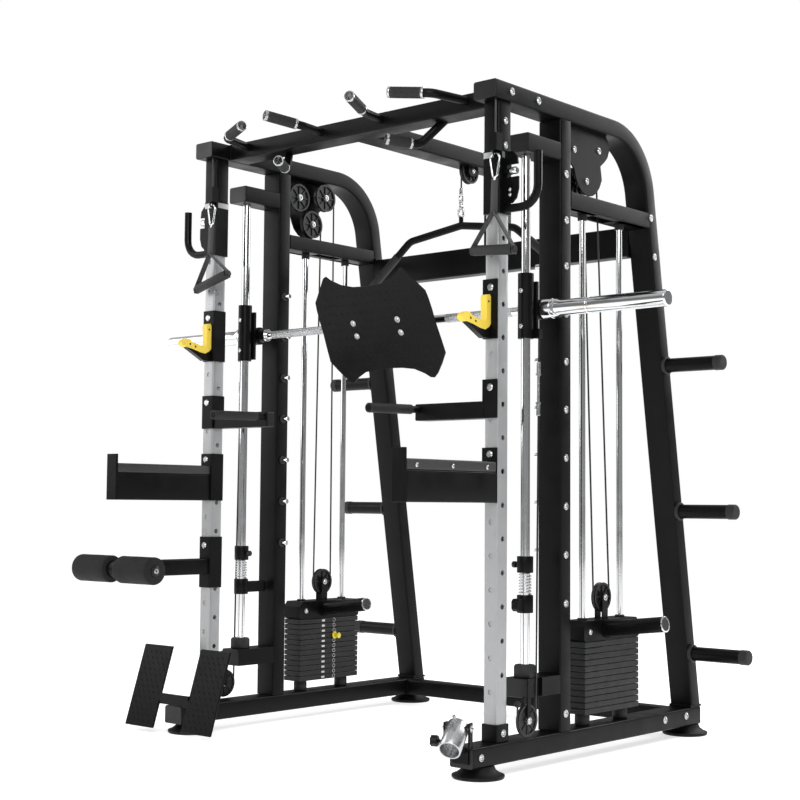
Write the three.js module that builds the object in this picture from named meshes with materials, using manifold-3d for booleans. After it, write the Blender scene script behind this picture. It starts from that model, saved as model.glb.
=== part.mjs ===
import * as THREE from 'three';
import { mergeVertices } from 'three/addons/utils/BufferGeometryUtils.js';
import Module from 'manifold-3d';

const wasm = await Module();
wasm.setup();

// Driving dimensions, mm. Depths here are measured from the front of the uprights, and
// DEPTH_SHIFT moves the finished solids so that the box is centred on the origin.
const CX = 628.6;
const UPRIGHT = 50;
const HOLE_R = 8;
const HOLE_PITCH = 100;
const FRONT_HOLE_Z = 239.6;
const SIDE_HOLE_Z = 289.6;
const TUBE_HALF = 43;
const GAP = 0.3;
const SPAN = CX - TUBE_HALF - GAP;
const FLOOR_BEAM = { z0: 36, z1: 96, front: -135, rear: 1146 };
const FOOT = { r: 77.5, front: -55, rear: 1110 };
const POST = { front: 297, rear: 355 };
const TOP_Z = 2007;
const TOP_BEAM = 56;
const ARCH = { y: 614, z: 1821, r: 242, lean: 9.37 };
const LINK = { front: 125, lowZ: 214, lowTop: 271, highZ: 1873, highTop: 1931 };
const ROD = { y: 172, r: 14, bore: 14.6 };
const BAR = { y: 228, z: 1395, half: 1100, r: 14, sleeve: 25, flange: 31 };
const PEG = { y: 326, z: 645.3, pitch: 150.3, count: 7, r: 9, length: 30 };
const PLATE_TILT = 25;
const STACK = { y0: 434, y1: 748, half: 41, z0: 133, pitch: 19, count: 12 };
const SELECTOR_Y = 615;
const GUIDE = { front: 479, rear: 697, r: 10, bore: 10.8 };
const STACK_RAIL = { z0: 1731, z1: 1783 };
const STACK_PULLEY = { y: 588, z: 495, r: 47.5 };
const TOP_PULLEYS = { front: [408, 1931], rear: [549, 1951], low: [479, 1839] };
const TOP_PULLEY_X = 600;
const TOP_PULLEY_R = 52;
const LOW_PULLEY = { x: 666, y: 131, z: 149, r: 48 };
const LAT_PULLEY = { y: 679, z: 1995, r: 46 };
const LAT_Y = 635;
const CABLE_R = 3;
const STORAGE_Z = [1270, 772, 282];
const ROLLER = { y: -385, z: 567, r: 45 };
const DEPTH_SHIFT = (FOOT.rear + FOOT.r + ROLLER.y - ROLLER.r) / 2;

const BLACK = { color: 0x161616, roughness: 0.5, metalness: 0.4 };
const SILVER = { color: 0xb9bbbd, roughness: 0.4, metalness: 0.6 };
const CHROME = { color: 0xdadcde, roughness: 0.12, metalness: 1 };
const RUBBER = { color: 0x1b1b1b, roughness: 0.85, metalness: 0 };
const YELLOW = { color: 0xd9c21c, roughness: 0.55, metalness: 0 };
const IRON = { color: 0x2b2b2c, roughness: 0.7, metalness: 0.3 };
const CABLE = { color: 0x101010, roughness: 0.45, metalness: 0 };

const V = (x, y, z) => new THREE.Vector3(x, y, z);
const X = V(1, 0, 0);
const Y = V(0, 1, 0);
const Z = V(0, 0, 1);
const rad = (degrees) => degrees * Math.PI / 180;

// A closed three.js geometry as a solid.
function solid(geometry) {
  geometry.deleteAttribute('normal');
  geometry.deleteAttribute('uv');
  const merged = mergeVertices(geometry, 1e-4);
  return new wasm.Manifold(new wasm.Mesh({
    numProp: 3,
    vertProperties: new Float32Array(merged.attributes.position.array),
    triVerts: new Uint32Array(merged.index.array),
  }));
}

const fuse = (...solids) => solids.reduce((a, b) => a.add(b));
const cut = (body, ...tools) => tools.reduce((a, b) => a.subtract(b), body);
const mirror = (body) => body.mirror([1, 0, 0]);
const shift = (body, x, y = 0, z = 0) => body.translate([x, y, z]);

// A flat outline pushed along an axis from lo to hi. The outline is (y, z) for x, (x, z)
// for y and (x, y) for z.
function slab(axis, outline, lo, hi) {
  const shape = new THREE.Shape(outline.map(([a, b]) => new THREE.Vector2(a, b)));
  const geometry = new THREE.ExtrudeGeometry(shape, { depth: hi - lo, bevelEnabled: false });
  const frame = new THREE.Matrix4();
  if (axis === 'x') frame.makeBasis(Y, Z, X).setPosition(lo, 0, 0);
  if (axis === 'y') frame.makeBasis(X, Z, Y.clone().negate()).setPosition(0, hi, 0);
  if (axis === 'z') frame.setPosition(0, 0, lo);
  return solid(geometry.applyMatrix4(frame));
}

// A bar with chamfered long edges.
function bar(axis, [a0, a1], [b0, b1], [lo, hi], c = 5) {
  const outline = [
    [a0 + c, b0], [a1 - c, b0], [a1, b0 + c], [a1, b1 - c],
    [a1 - c, b1], [a0 + c, b1], [a0, b1 - c], [a0, b0 + c],
  ];
  return slab(axis, outline, lo, hi);
}

function box([x0, x1], [y0, y1], [z0, z1]) {
  const geometry = new THREE.BoxGeometry(x1 - x0, y1 - y0, z1 - z0);
  geometry.translate((x0 + x1) / 2, (y0 + y1) / 2, (z0 + z1) / 2);
  return solid(geometry);
}

// A profile of [radius, height] pairs turned about a line through base.
function turn(profile, base, direction, sides = 16) {
  const points = profile.map(([r, h]) => new THREE.Vector2(r, h));
  if (profile[0][0] > 0) points.push(points[0].clone());
  const geometry = new THREE.LatheGeometry(points, sides);
  const spin = new THREE.Quaternion().setFromUnitVectors(Y, direction.clone().normalize());
  geometry.applyQuaternion(spin);
  geometry.translate(base.x, base.y, base.z);
  return solid(geometry);
}

function rod(from, to, r, sides = 16) {
  const direction = to.clone().sub(from);
  const profile = [[0, 0], [r, 0], [r, direction.length()], [0, direction.length()]];
  return turn(profile, from, direction, sides);
}

// A run of points with its corners rounded.
function rounded(points, radius, steps = 5) {
  const stops = [points[0]];
  for (let i = 1; i < points.length - 1; i += 1) {
    const into = points[i].clone().sub(points[i - 1]).normalize();
    const out = points[i + 1].clone().sub(points[i]).normalize();
    const half = into.angleTo(out) / 2;
    const reach = radius * Math.tan(half);
    const start = points[i].clone().addScaledVector(into, -reach);
    const inward = out.clone().sub(into).normalize();
    const centre = points[i].clone().addScaledVector(inward, radius / Math.cos(half));
    const arm = start.clone().sub(centre);
    const hinge = into.clone().cross(out).normalize();
    for (let k = 0; k <= steps; k += 1) {
      stops.push(centre.clone().add(arm.clone().applyAxisAngle(hinge, 2 * half * k / steps)));
    }
  }
  stops.push(points[points.length - 1]);
  return stops;
}

// A path whose sections fall exactly on its stops.
class Route extends THREE.Curve {
  constructor(stops) {
    super();
    this.stops = stops;
  }

  index(u) {
    return Math.round(u * (this.stops.length - 1));
  }

  getPointAt(u, target = new THREE.Vector3()) {
    return target.copy(this.stops[this.index(u)]);
  }

  getTangentAt(u, target = new THREE.Vector3()) {
    const i = this.index(u);
    const last = this.stops.length - 1;
    target.set(0, 0, 0);
    if (i > 0) target.add(this.stops[i].clone().sub(this.stops[i - 1]).normalize());
    if (i < last) target.add(this.stops[i + 1].clone().sub(this.stops[i]).normalize());
    return target.normalize();
  }
}

function tube(stops, r, sides = 12) {
  const ring = [];
  for (let k = 0; k < sides; k += 1) {
    const a = 2 * Math.PI * k / sides;
    ring.push(new THREE.Vector2(r * Math.cos(a), r * Math.sin(a)));
  }
  const geometry = new THREE.ExtrudeGeometry(new THREE.Shape(ring), {
    steps: stops.length - 1,
    extrudePath: new Route(stops),
    bevelEnabled: false,
  });
  return solid(geometry);
}

function arcStops(x, y, z, r, from, to, steps) {
  const stops = [];
  for (let k = 0; k <= steps; k += 1) {
    const a = rad(from + (to - from) * k / steps);
    stops.push(V(x, y + r * Math.cos(a), z + r * Math.sin(a)));
  }
  return stops;
}

function pulley(r, groove, bore, half, x, y, z, sides = 20) {
  const profile = [
    [bore, -half], [r, -half], [groove, -3.2], [groove, 3.2], [r, half], [bore, half],
  ];
  return turn(profile, V(x, y, z), X, sides);
}

function floorBeam() {
  const { z0, z1, front, rear } = FLOOR_BEAM;
  const profile = [[0, 0], [74, 0], [FOOT.r, 3], [FOOT.r, 11], [52, 24], [47, 37], [47, 40], [0, 40]];
  return fuse(
    bar('y', [CX - TUBE_HALF, CX + TUBE_HALF], [z0, z1], [front, rear]),
    turn(profile, V(CX, FOOT.front, 0), Z, 20),
    turn(profile, V(CX, FOOT.rear, 0), Z, 20),
  );
}

// The shelf and pivot pin that carry the bar holder in front of the right floor beam.
const LANDMINE = { y: -150, z: 152, yaw: 20, pitch: 36 };

function landmineShelf() {
  const shelf = [
    [CX - 25, -134], [CX - 20, -146], [CX - 17, -158], [CX - 8, -167], [CX + 8, -167],
    [CX + 17, -158], [CX + 19, -146], [CX + 25, -134],
  ];
  return fuse(
    slab('z', shelf, 82, 96),
    box([CX - 30, CX + 30], [-141, -134], [50, 96]),
    rod(V(CX, LANDMINE.y, 90), V(CX, LANDMINE.y, 102), 8),
    rod(V(CX, LANDMINE.y, 101.3), V(CX, LANDMINE.y, 102.8), 10.5),
  );
}

function frontUpright() {
  const side = [CX - UPRIGHT / 2, CX + UPRIGHT / 2];
  let body = bar('z', side, [0, UPRIGHT], [FLOOR_BEAM.z1 + GAP, TOP_Z - GAP], 4);
  const sleeve = [[CX - 30, CX + 30], [-5, 55]];
  for (let k = 0; k < 17; k += 1) {
    const z = FRONT_HOLE_Z + HOLE_PITCH * k;
    body = cut(body, rod(V(CX, -1, z), V(CX, UPRIGHT + 1, z), HOLE_R, 8));
  }
  for (let k = 0; k < 16; k += 1) {
    const z = SIDE_HOLE_Z + HOLE_PITCH * k;
    body = cut(body, rod(V(CX - 26, UPRIGHT / 2, z), V(CX + 26, UPRIGHT / 2, z), HOLE_R, 8));
  }
  return fuse(
    body,
    bar('z', ...sleeve, [FLOOR_BEAM.z1 + GAP, 147], 3),
    bar('z', ...sleeve, [1855, TOP_Z - GAP], 3),
  );
}

function middlePost() {
  const side = [CX - TUBE_HALF, CX + TUBE_HALF];
  const { x, y, z } = LOW_PULLEY;
  const low = [LINK.lowZ, LINK.lowTop];
  let body = fuse(
    bar('z', side, [POST.front, POST.rear], [FLOOR_BEAM.z1 + GAP, TOP_Z - GAP]),
    bar('y', side, low, [LINK.front, POST.front + 8]),
    bar('y', side, [LINK.highZ, LINK.highTop], [LINK.front, POST.front + 8]),
    box([x - 11, x - 7], [y - 8, y + 8], [z - 9, LINK.lowZ + 6]),
    box([x + 6, x + 10], [y - 8, y + 8], [z - 9, LINK.lowTop - 8]),
    box([CX + TUBE_HALF - 1, x + 8], [y - 16, y + 16], [LINK.lowZ + 2, LINK.lowTop - 8]),
    rod(V(x - 9, y, z), V(x + 8, y, z), 6),
  );
  for (let k = 0; k < PEG.count; k += 1) {
    const at = PEG.z + PEG.pitch * k;
    const inner = CX - TUBE_HALF - PEG.length;
    body = fuse(body, rod(V(CX - TUBE_HALF + 2, PEG.y, at), V(inner, PEG.y, at), PEG.r, 12));
  }
  return cut(body, box([658, 672], [160, 200], [LINK.lowZ - 1, LINK.lowTop + 1]));
}

// Top beam, arch and leaning rear leg are one bent tube.
function archOutline() {
  const inner = ARCH.r - TOP_BEAM;
  const point = (r, a) => [ARCH.y + r * Math.cos(rad(a)), ARCH.z + r * Math.sin(rad(a))];
  const outer = [];
  const inside = [];
  for (let k = 0; k <= 9; k += 1) {
    const a = 90 - (90 - ARCH.lean) * k / 9;
    outer.push(point(ARCH.r, a));
    inside.push(point(inner, a));
  }
  const foot = ([y, z]) => [y + Math.tan(rad(ARCH.lean)) * (z - 96 - GAP), 96 + GAP];
  return [
    [-40, TOP_Z], ...inside, foot(inside[9]), foot(outer[9]), ...outer.reverse(),
    [-40, TOP_Z + TOP_BEAM],
  ];
}

function legCentre(z) {
  const a = rad(ARCH.lean);
  const r = ARCH.r - TOP_BEAM / 2;
  return ARCH.y + r * Math.cos(a) + Math.tan(a) * (ARCH.z + r * Math.sin(a) - z);
}

function sideArch() {
  const side = [CX - TUBE_HALF, CX + TUBE_HALF];
  const plate = [
    [383, 2009], [383, 1891], [410, 1866], [416, 1846], [452, 1801], [494, 1792], [537, 1809],
    [569, 1857], [561, 1902], [602, 1937], [616, 1982], [592, 2009],
  ];
  let body = fuse(
    slab('x', archOutline(), ...side),
    cut(
      bar('y', side, [STACK_RAIL.z0, STACK_RAIL.z1], [POST.rear + GAP, 830]),
      box([596, 618], [516, 642], [STACK_RAIL.z0 - 1, STACK_RAIL.z1 + 1]),
    ),
    slab('x', plate, 641, 646),
  );
  for (const [y, z] of Object.values(TOP_PULLEYS)) {
    body = fuse(
      body,
      rod(V(644, y, z), V(TOP_PULLEY_X - 12, y, z), 6, 10),
      rod(V(644, y, z), V(TOP_PULLEY_X + 10, y, z), 10, 10),
    );
  }
  for (const z of STORAGE_Z) {
    const y = legCentre(z);
    const profile = [[0, 0], [30, 0], [30, 10], [24, 12], [24, 218], [21, 222], [0, 222]];
    body = fuse(body, turn(profile, V(CX + TUBE_HALF - 1, y, z), X, 16));
  }
  return body;
}

function gripPair(points, gripFrom) {
  const stops = rounded(points, 34, 3);
  const end = points[points.length - 1];
  const along = end.clone().sub(points[points.length - 2]).normalize();
  const start = points[points.length - 2].clone().addScaledVector(along, gripFrom);
  const right = fuse(tube(stops, 14, 10), rod(start, end, 18, 12));
  return fuse(right, mirror(right));
}

function topFrame() {
  const top = [TOP_Z, TOP_Z + TOP_BEAM];
  const { y, z } = LAT_PULLEY;
  let body = fuse(
    bar('x', [45, 135], top, [-SPAN, SPAN]),
    bar('y', [-45, 45], top, [130, 878]),
    bar('z', [-45, 45], [823, 878], [1700, TOP_Z + 10]),
    bar('x', [823, 878], [1645, 1747], [-SPAN, SPAN]),
    box([14, 19], [y - 24, y + 24], [z - 18, TOP_Z + 2]),
    box([-19, -14], [y - 24, y + 24], [z - 18, TOP_Z + 2]),
    gripPair([V(500, 90, 2040), V(462, -85, 2043), V(328, -137, 2057)], 26),
    gripPair([V(134, 90, 2036), V(139, -35, 2045), V(190, -166, 2064)], 26),
    gripPair([V(352, 112, 2015), V(300, 50, 1932), V(242, -49, 1941)], 26),
  );
  body = cut(body, box([-13, 13], [y - 54, y + 54], [z - 60, z + 50]));
  return fuse(body, rod(V(-16, y, z), V(16, y, z), 5, 12));
}

function smithRod() {
  return fuse(
    rod(V(CX, ROD.y, LINK.lowTop + GAP), V(CX, ROD.y, LINK.highZ - GAP), ROD.r, 20),
    rod(V(CX, ROD.y, LINK.lowTop + GAP), V(CX, ROD.y, 309), 33.5, 20),
  );
}

// Lower stop: a locking block, its buffer spring and the collar above it.
function safetyStop(armFrom, armTo) {
  const b = ROD.bore;
  const profile = [
    [b, 464], [25, 464], [25, 518], [18, 519], [18, 584], [25, 585], [25, 635], [b, 635],
  ];
  return fuse(
    turn(profile, V(CX, ROD.y, 0), Z, 20),
    cut(
      box([CX - 14, CX + 14], [armFrom, armTo], [468, 508]),
      rod(V(CX, ROD.y, 400), V(CX, ROD.y, 600), 20, 20),
    ),
  );
}

function carriage() {
  const b = ROD.bore;
  const sleeve = [[b, 1300], [24.5, 1300], [24.5, 1502], [b, 1502]];
  const hub = [[b, -52], [24, -52], [24, -24], [32, -22], [32, 24], [b, 24]];
  const body = fuse(
    turn(sleeve, V(CX, ROD.y, 0), Z, 20),
    box([CX - 28, CX + 28], [191, 201], [1306, 1478]),
    box([CX + 20, CX + 43], [182, 201], [1301, 1330]),
    rod(V(CX - 22, BAR.y, BAR.z), V(CX + 22, BAR.y, BAR.z), 30, 20),
  );
  return fuse(
    cut(
      body,
      rod(V(CX, ROD.y, 1200), V(CX, ROD.y, 1600), b, 20),
      rod(V(CX - 80, BAR.y, BAR.z), V(CX + 80, BAR.y, BAR.z), 20, 20),
    ),
    turn(hub, V(CX, BAR.y, BAR.z), X, 20),
  );
}

function smithBar() {
  const { half, r, sleeve, flange } = BAR;
  const side = [
    [0, half], [22, half], [sleeve, half - 3], [sleeve, 830], [23.5, 830], [23.5, 824],
    [sleeve, 824], [sleeve, 728], [flange, 715], [flange, 661], [r, 661],
  ];
  const other = side.map(([a, b]) => [a, -b]);
  return turn([...other, ...side.reverse()], V(0, BAR.y, BAR.z), X, 16);
}

// Foot plate clamped to the bar; local y runs up the plate and local z out of its face.
function pressPlate() {
  const half = [
    [258, -105], [256, -60], [252, 0], [252, 50], [250, 85], [246, 112], [212, 152], [178, 193],
    [166, 198], [150, 184], [110, 163], [60, 151],
  ];
  const lower = [[60, -145], [110, -152], [150, -170], [170, -184], [186, -186], [204, -172]];
  const right = [...lower, [232, -140], ...half];
  const left = [...right].reverse().map(([a, b]) => [-a, b]);
  const outline = [[0, -143], ...right, [0, 148], ...left];
  const clamp = (x) => cut(
    box([x - 12, x + 12], [-30, 30], [-24, 39]),
    rod(V(x - 20, 0, 0), V(x + 20, 0, 0), BAR.r + 0.3, 20),
  );
  const body = fuse(slab('z', outline, 37.5, 42.5), clamp(-100), clamp(100));
  return shift(body.rotate([90 + PLATE_TILT, 0, 0]), 0, BAR.y, BAR.z);
}

function weightStack() {
  const { y0, y1, half, z0, pitch, count } = STACK;
  const top = z0 + pitch * count;
  let body = box([-half + 3, half - 3], [y0 + 3, y1 - 3], [z0, top]);
  for (let k = 0; k < count; k += 1) {
    const z = z0 + pitch * k;
    body = fuse(body, box([-half, half], [y0, y1], [z + 1, z + pitch - 1]));
  }
  for (const y of [GUIDE.front, GUIDE.rear]) {
    body = fuse(
      body,
      rod(V(0, y, FLOOR_BEAM.z1 + GAP), V(0, y, STACK_RAIL.z0 - GAP), GUIDE.r, 14),
      rod(V(0, y, FLOOR_BEAM.z1 + GAP), V(0, y, z0 + 1), 24, 16),
    );
  }
  const pinZ = z0 + pitch * 8.5;
  return cut(body, rod(V(-24, SELECTOR_Y, pinZ), V(half + 1, SELECTOR_Y, pinZ), 5, 12));
}

function selectorPin() {
  const z = STACK.z0 + STACK.pitch * 8.5;
  return fuse(
    rod(V(-20, SELECTOR_Y, z), V(STACK.half + 3, SELECTOR_Y, z), 4.4, 10),
    turn([[0, 0], [13, 0], [13, 5], [9, 8], [9, 24], [7, 27], [0, 27]],
      V(STACK.half + 1, SELECTOR_Y, z), X, 14),
  );
}

function stackTop() {
  const { y, z } = STACK_PULLEY;
  const outline = [
    [430, 368], [438, 361.4], [742, 361.4], [750, 368], [750, 408], [734, 426], [446, 426],
    [430, 408],
  ];
  const fork = [
    [574, 422], [602, 422], [604, 495], [600, 508], [588, 514], [576, 508], [572, 495],
  ];
  const body = fuse(
    slab('x', outline, -STACK.half, STACK.half),
    rod(V(STACK.half - 12, 560, 396), V(256, 560, 423), 24.5, 18),
    rod(V(STACK.half - 1, 560, 397.3), V(STACK.half + 4, 560, 397.9), 30, 18),
    slab('x', fork, 11, 16),
    slab('x', fork, -16, -11),
    rod(V(-13, y, z), V(13, y, z), 5, 12),
  );
  return cut(
    body,
    rod(V(0, GUIDE.front, 340), V(0, GUIDE.front, 450), GUIDE.bore, 14),
    rod(V(0, GUIDE.rear, 340), V(0, GUIDE.rear, 450), GUIDE.bore, 14),
  );
}

function clasp(z0, z1, pinZ) {
  const inner = CX - UPRIGHT / 2 - 0.4;
  return fuse(
    box([CX - 25, CX + 25], [-6, -GAP], [z0, z1]),
    box([inner - 5, inner], [-6, UPRIGHT], [z0, z1]),
    box([inner - 5, CX - 20], [-6, -GAP], [z0, z1]),
    rod(V(CX, -5, pinZ), V(CX, 40, pinZ), 7, 12),
  );
}

function jHook() {
  const liner = [
    [-5, 1330], [-5, 1411], [-11, 1418], [-25, 1416], [-30, 1409], [-28, 1340], [-40, 1333],
    [-64, 1340], [-92, 1345], [-104, 1355], [-119, 1356], [-134, 1351], [-143, 1340],
    [-138, 1331], [-122, 1326], [-39, 1285], [-5, 1287],
  ];
  return fuse(clasp(1285, 1465, 1439.6), slab('x', liner, CX - 20, CX + 3));
}

function spotterArm() {
  const side = [CX - 24.5, CX + 24.5];
  return fuse(
    clasp(796, 960, 939.6),
    bar('y', side, [796, 918], [-415, -3], 4),
    box(side, [-420, -412], [796, 948]),
  );
}

function dipHandle() {
  const inner = CX - UPRIGHT / 2 - 0.4;
  const beam = slab('z', [[inner - 3, 0], [inner - 3, UPRIGHT], [345, UPRIGHT], [328, 0]].reverse(),
    1048, 1100);
  return fuse(
    clasp(1048, 1164, 1139.6),
    beam,
    rod(V(346, 20, 1083), V(345, -235, 1077), 11, 14),
    rod(V(345, -40, 1081.6), V(345, -232, 1077), 15, 14),
  );
}

function legRollerArm() {
  const body = fuse(
    clasp(493, 670, 639.6),
    bar('y', [CX - 24, CX + 24], [540, 594], [ROLLER.y, -4], 4),
    rod(V(CX - 24, ROLLER.y, ROLLER.z), V(CX + 24, ROLLER.y, ROLLER.z), 29, 20),
  );
  return cut(body, rod(V(CX - 30, ROLLER.y, ROLLER.z), V(CX + 30, ROLLER.y, ROLLER.z), 12.6, 20));
}

function foamRoller() {
  const half = [
    [12, 25.3], [ROLLER.r, 25.3], [ROLLER.r, 190], [42.5, 192], [17, 192], [17, 198], [0, 198],
  ];
  const other = [...half].reverse().map(([a, b]) => [a, -b]);
  return turn([...other, ...half], V(CX, ROLLER.y, ROLLER.z), X, 20);
}

function rowFootplate() {
  const lean = [[-164, 17], [-156, 17], [-71, 289], [-79, 289]];
  return fuse(
    slab('x', lean, CX - 220, CX - 73),
    slab('x', lean, CX + 73, CX + 220),
    box([CX - 80, CX + 80], [-134, -124], [98, 134]),
  );
}

function landmineYoke() {
  const body = fuse(
    box([-40, 40], [-12, 15], [96.4, 101]),
    box([34.5, 40], [-12, 15], [96.4, 168]),
    box([-40, -34.5], [-12, 15], [96.4, 168]),
    rod(V(-39, 0, 112), V(-62, 0, 112), 5, 12),
    turn([[0, 0], [15, 0], [15, 20], [0, 20]], V(-60, 0, 112), V(-1, 0, 0), 10),
  );
  const open = cut(
    body,
    rod(V(0, 0, 90), V(0, 0, 110), 8.4),
    rod(V(-44, 0, LANDMINE.z), V(44, 0, LANDMINE.z), 6.4),
  );
  return shift(open.rotate([0, 0, LANDMINE.yaw]), CX, LANDMINE.y);
}

function landmineTube() {
  const wall = [[28, -90], [33, -90], [33, 8], [28, 8]];
  const body = fuse(
    turn(wall, V(0, 0, 0), Y, 24),
    rod(V(31, 0, 0), V(40, 0, 0), 6),
    rod(V(-40, 0, 0), V(-31, 0, 0), 6),
    rod(V(0, -6, 31), V(0, -6, 54), 5, 12),
  );
  const posed = body.rotate([LANDMINE.pitch, 0, 0]).rotate([0, 0, LANDMINE.yaw]);
  return shift(posed, CX, LANDMINE.y, LANDMINE.z);
}

const PIN_Z = SIDE_HOLE_Z + 15 * HOLE_PITCH;

// The eye that the spring hook hangs in; it sits beside the middle of the upright, on the
// same side of both uprights.
const HOOK = { dx: 28, y: -23, z: 1838.7 };

// Cable guide and hook eye on the front of the trolley.
function cableEnd(x) {
  const { y, z } = HOOK;
  return fuse(
    cut(
      box([x - 14, x + 14], [-34, -5.5], [1847, 1900]),
      box([x - 5.5, x + 5.5], [y - 5, y + 9], [1840, 1910]),
    ),
    box([x - 14, x + 14], [-11, -5.5], [1815, 1900]),
    cut(
      fuse(
        rod(V(x - 2, y, z), V(x + 2, y, z), 10.5, 14),
        box([x - 2, x + 2], [y + 8, -10], [z - 5, z + 5]),
      ),
      rod(V(x - 4, y, z), V(x + 4, y, z), 6.6, 14),
    ),
  );
}

function trolley(hookX) {
  const gusset = [
    [CX + 30, 1690], [CX + 58, 1692], [CX + 74, 1706], [CX + 82, 1734], [CX + 82, 1771],
    [CX + 40, 1771], [CX + 40, 1809], [CX + 80, 1809], [CX + 77, 1832], [CX + 62, 1848],
    [CX + 30, 1853],
  ];
  const body = fuse(
    bar('z', [CX - 31, CX + 31], [-6, 56], [1662, 1854], 3),
    cableEnd(hookX),
    slab('y', gusset, 21, 27),
    rod(V(CX + 26, 25, PIN_Z), V(CX + 45, 25, PIN_Z), 13),
    tube(rounded([V(CX + 28, 25, 1677), V(780, 25, 1677), V(780, 25, 1838)], 60, 6), 13),
  );
  return cut(
    body,
    rod(V(CX + 20, 25, PIN_Z), V(CX + 60, 25, PIN_Z), 6.4),
    box([CX - 25.5, CX + 25.5], [-0.5, 50.5], [1600, 1900]),
  );
}

function popPin() {
  return fuse(
    rod(V(CX + 25.8, 25, PIN_Z), V(CX + 48, 25, PIN_Z), 6),
    turn([[0, 0], [9, 0], [12, 6], [12, 26], [9, 30], [0, 30]],
      V(CX + 45.8, 25, PIN_Z), X, 12),
  );
}

// Spring hook, strap and grip, hanging in front of the trolley.
function dHandle(x, from, to) {
  const { y, z } = HOOK;
  const oval = (w, z0, z1) => [
    [x - w, z0 + w], [x - w * 0.6, z0 + w * 0.25], [x, z0], [x + w * 0.6, z0 + w * 0.25],
    [x + w, z0 + w], [x + w, z1 - w], [x + w * 0.6, z1 - w * 0.25], [x, z1],
    [x - w * 0.6, z1 - w * 0.25], [x - w, z1 - w],
  ];
  const fork = V(x, -28, 1662);
  return fuse(
    cut(
      slab('y', oval(21, z - 81.7, z + 3.3), y - 3.5, y + 3.5),
      slab('y', oval(14.5, z - 75.2, z - 3.3), y - 5, y + 5),
    ),
    tube([V(x, y, z - 78), fork, V(...from)], 4, 8),
    tube([fork, V(...to)], 4, 8),
    rod(V(...from), V(...to), 16, 16),
  );
}

function latBar() {
  const top = LAT_PULLEY.z - 4;
  const points = [
    V(-430, LAT_Y, 1603), V(-240, LAT_Y, 1757), V(0, LAT_Y, 1790), V(240, LAT_Y, 1757),
    V(430, LAT_Y, 1603),
  ];
  const link = (z) => cut(
    slab('y', [[-13, z], [13, z], [13, z + 62], [-13, z + 62]], LAT_Y - 4, LAT_Y + 4),
    box([-6, 6], [LAT_Y - 9, LAT_Y + 9], [z + 7, z + 55]),
  );
  return fuse(
    tube(rounded(points, 60, 4), 14),
    rod(V(0, LAT_Y, 1790), V(0, LAT_Y, 1828), 8, 12),
    link(1824),
    rod(V(0, LAT_Y, 1880), V(0, LAT_Y, 1905), 9, 12),
    rod(V(0, LAT_Y, 1900), V(0, LAT_Y, top), CABLE_R, 8),
  );
}

function stackCable() {
  const { y, z, r } = STACK_PULLEY;
  const low = r - 4.7 + CABLE_R;
  const high = TOP_PULLEY_R - 4.7 + CABLE_R;
  const [lowY, lowZ] = TOP_PULLEYS.low;
  const [rearY, rearZ] = TOP_PULLEYS.rear;
  return tube([
    V(TOP_PULLEY_X, lowY + high, lowZ),
    ...arcStops(CX, y, z, low, 180, 360, 10),
    ...arcStops(TOP_PULLEY_X, rearY, rearZ, high, 0, 180, 10),
  ], CABLE_R, 6);
}

function lowCable() {
  const { x, y, z, r } = LOW_PULLEY;
  const wrap = r - 4.7 + CABLE_R;
  const end = V(x, y - wrap, z + 52);
  return fuse(
    tube([V(x, 190, 1300.6), ...arcStops(x, y, z, wrap, 0, -180, 10), end], CABLE_R, 6),
    rod(V(x, 188.5, 1227), V(x, 186, 1060), 7.5, 8),
    turn([[0, -10], [7, -8], [10, 0], [7, 8], [0, 10]], end, Z, 10),
  );
}

function frontCable(x) {
  return tube([V(x, HOOK.y + 2, 1851), V(x, HOOK.y + 2, TOP_Z - GAP)], CABLE_R, 6);
}

const group = new THREE.Group();

function place(name, look, body) {
  const placed = shift(body, 0, -DEPTH_SHIFT);
  const mesh = placed.getMesh();
  const indexed = new THREE.BufferGeometry();
  indexed.setAttribute('position', new THREE.BufferAttribute(mesh.vertProperties, 3));
  indexed.setIndex(new THREE.BufferAttribute(mesh.triVerts, 1));
  const geometry = indexed.toNonIndexed();
  geometry.computeVertexNormals();
  const item = new THREE.Mesh(geometry, new THREE.MeshStandardMaterial(look));
  item.name = name;
  group.add(item);
}

function placePair(name, look, body) {
  place(`${name}_right`, look, body);
  place(`${name}_left`, look, mirror(body));
}

// A pair that points the same way on both sides, made at x = 0.
function placeTwins(name, look, body) {
  place(`${name}_right`, look, shift(body, CX));
  place(`${name}_left`, look, shift(body, -CX));
}

place('floor_beam_right', BLACK, fuse(floorBeam(), landmineShelf()));
place('floor_beam_left', BLACK, mirror(floorBeam()));
placePair('front_upright', SILVER, frontUpright());
placePair('middle_post', BLACK, middlePost());
placePair('side_arch', BLACK, sideArch());
place('top_frame', BLACK, topFrame());
place('rear_lower_crossbeam', BLACK, bar('x', [1035, 1093], [36, 94], [-SPAN, SPAN]));
placePair('smith_rod', CHROME, smithRod());
place('safety_stop_right', BLACK, safetyStop(118, 170));
place('safety_stop_left', BLACK, mirror(safetyStop(174, 286)));
placePair('bar_carriage', BLACK, carriage());
place('smith_bar', CHROME, smithBar());
place('press_plate', BLACK, pressPlate());
placePair('weight_stack', IRON, shift(mirror(weightStack()), CX));
placeTwins('stack_top', BLACK, stackTop());
placePair('selector_pin', YELLOW, shift(mirror(selectorPin()), CX));
placeTwins('stack_pulley', IRON,
  pulley(STACK_PULLEY.r, STACK_PULLEY.r - 5.5, 5.4, 8, 0, STACK_PULLEY.y, STACK_PULLEY.z));
for (const [name, [y, z]] of Object.entries(TOP_PULLEYS)) {
  placePair(`top_pulley_${name}`, IRON,
    pulley(TOP_PULLEY_R, TOP_PULLEY_R - 5.5, 6.4, 9, TOP_PULLEY_X, y, z));
}
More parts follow.
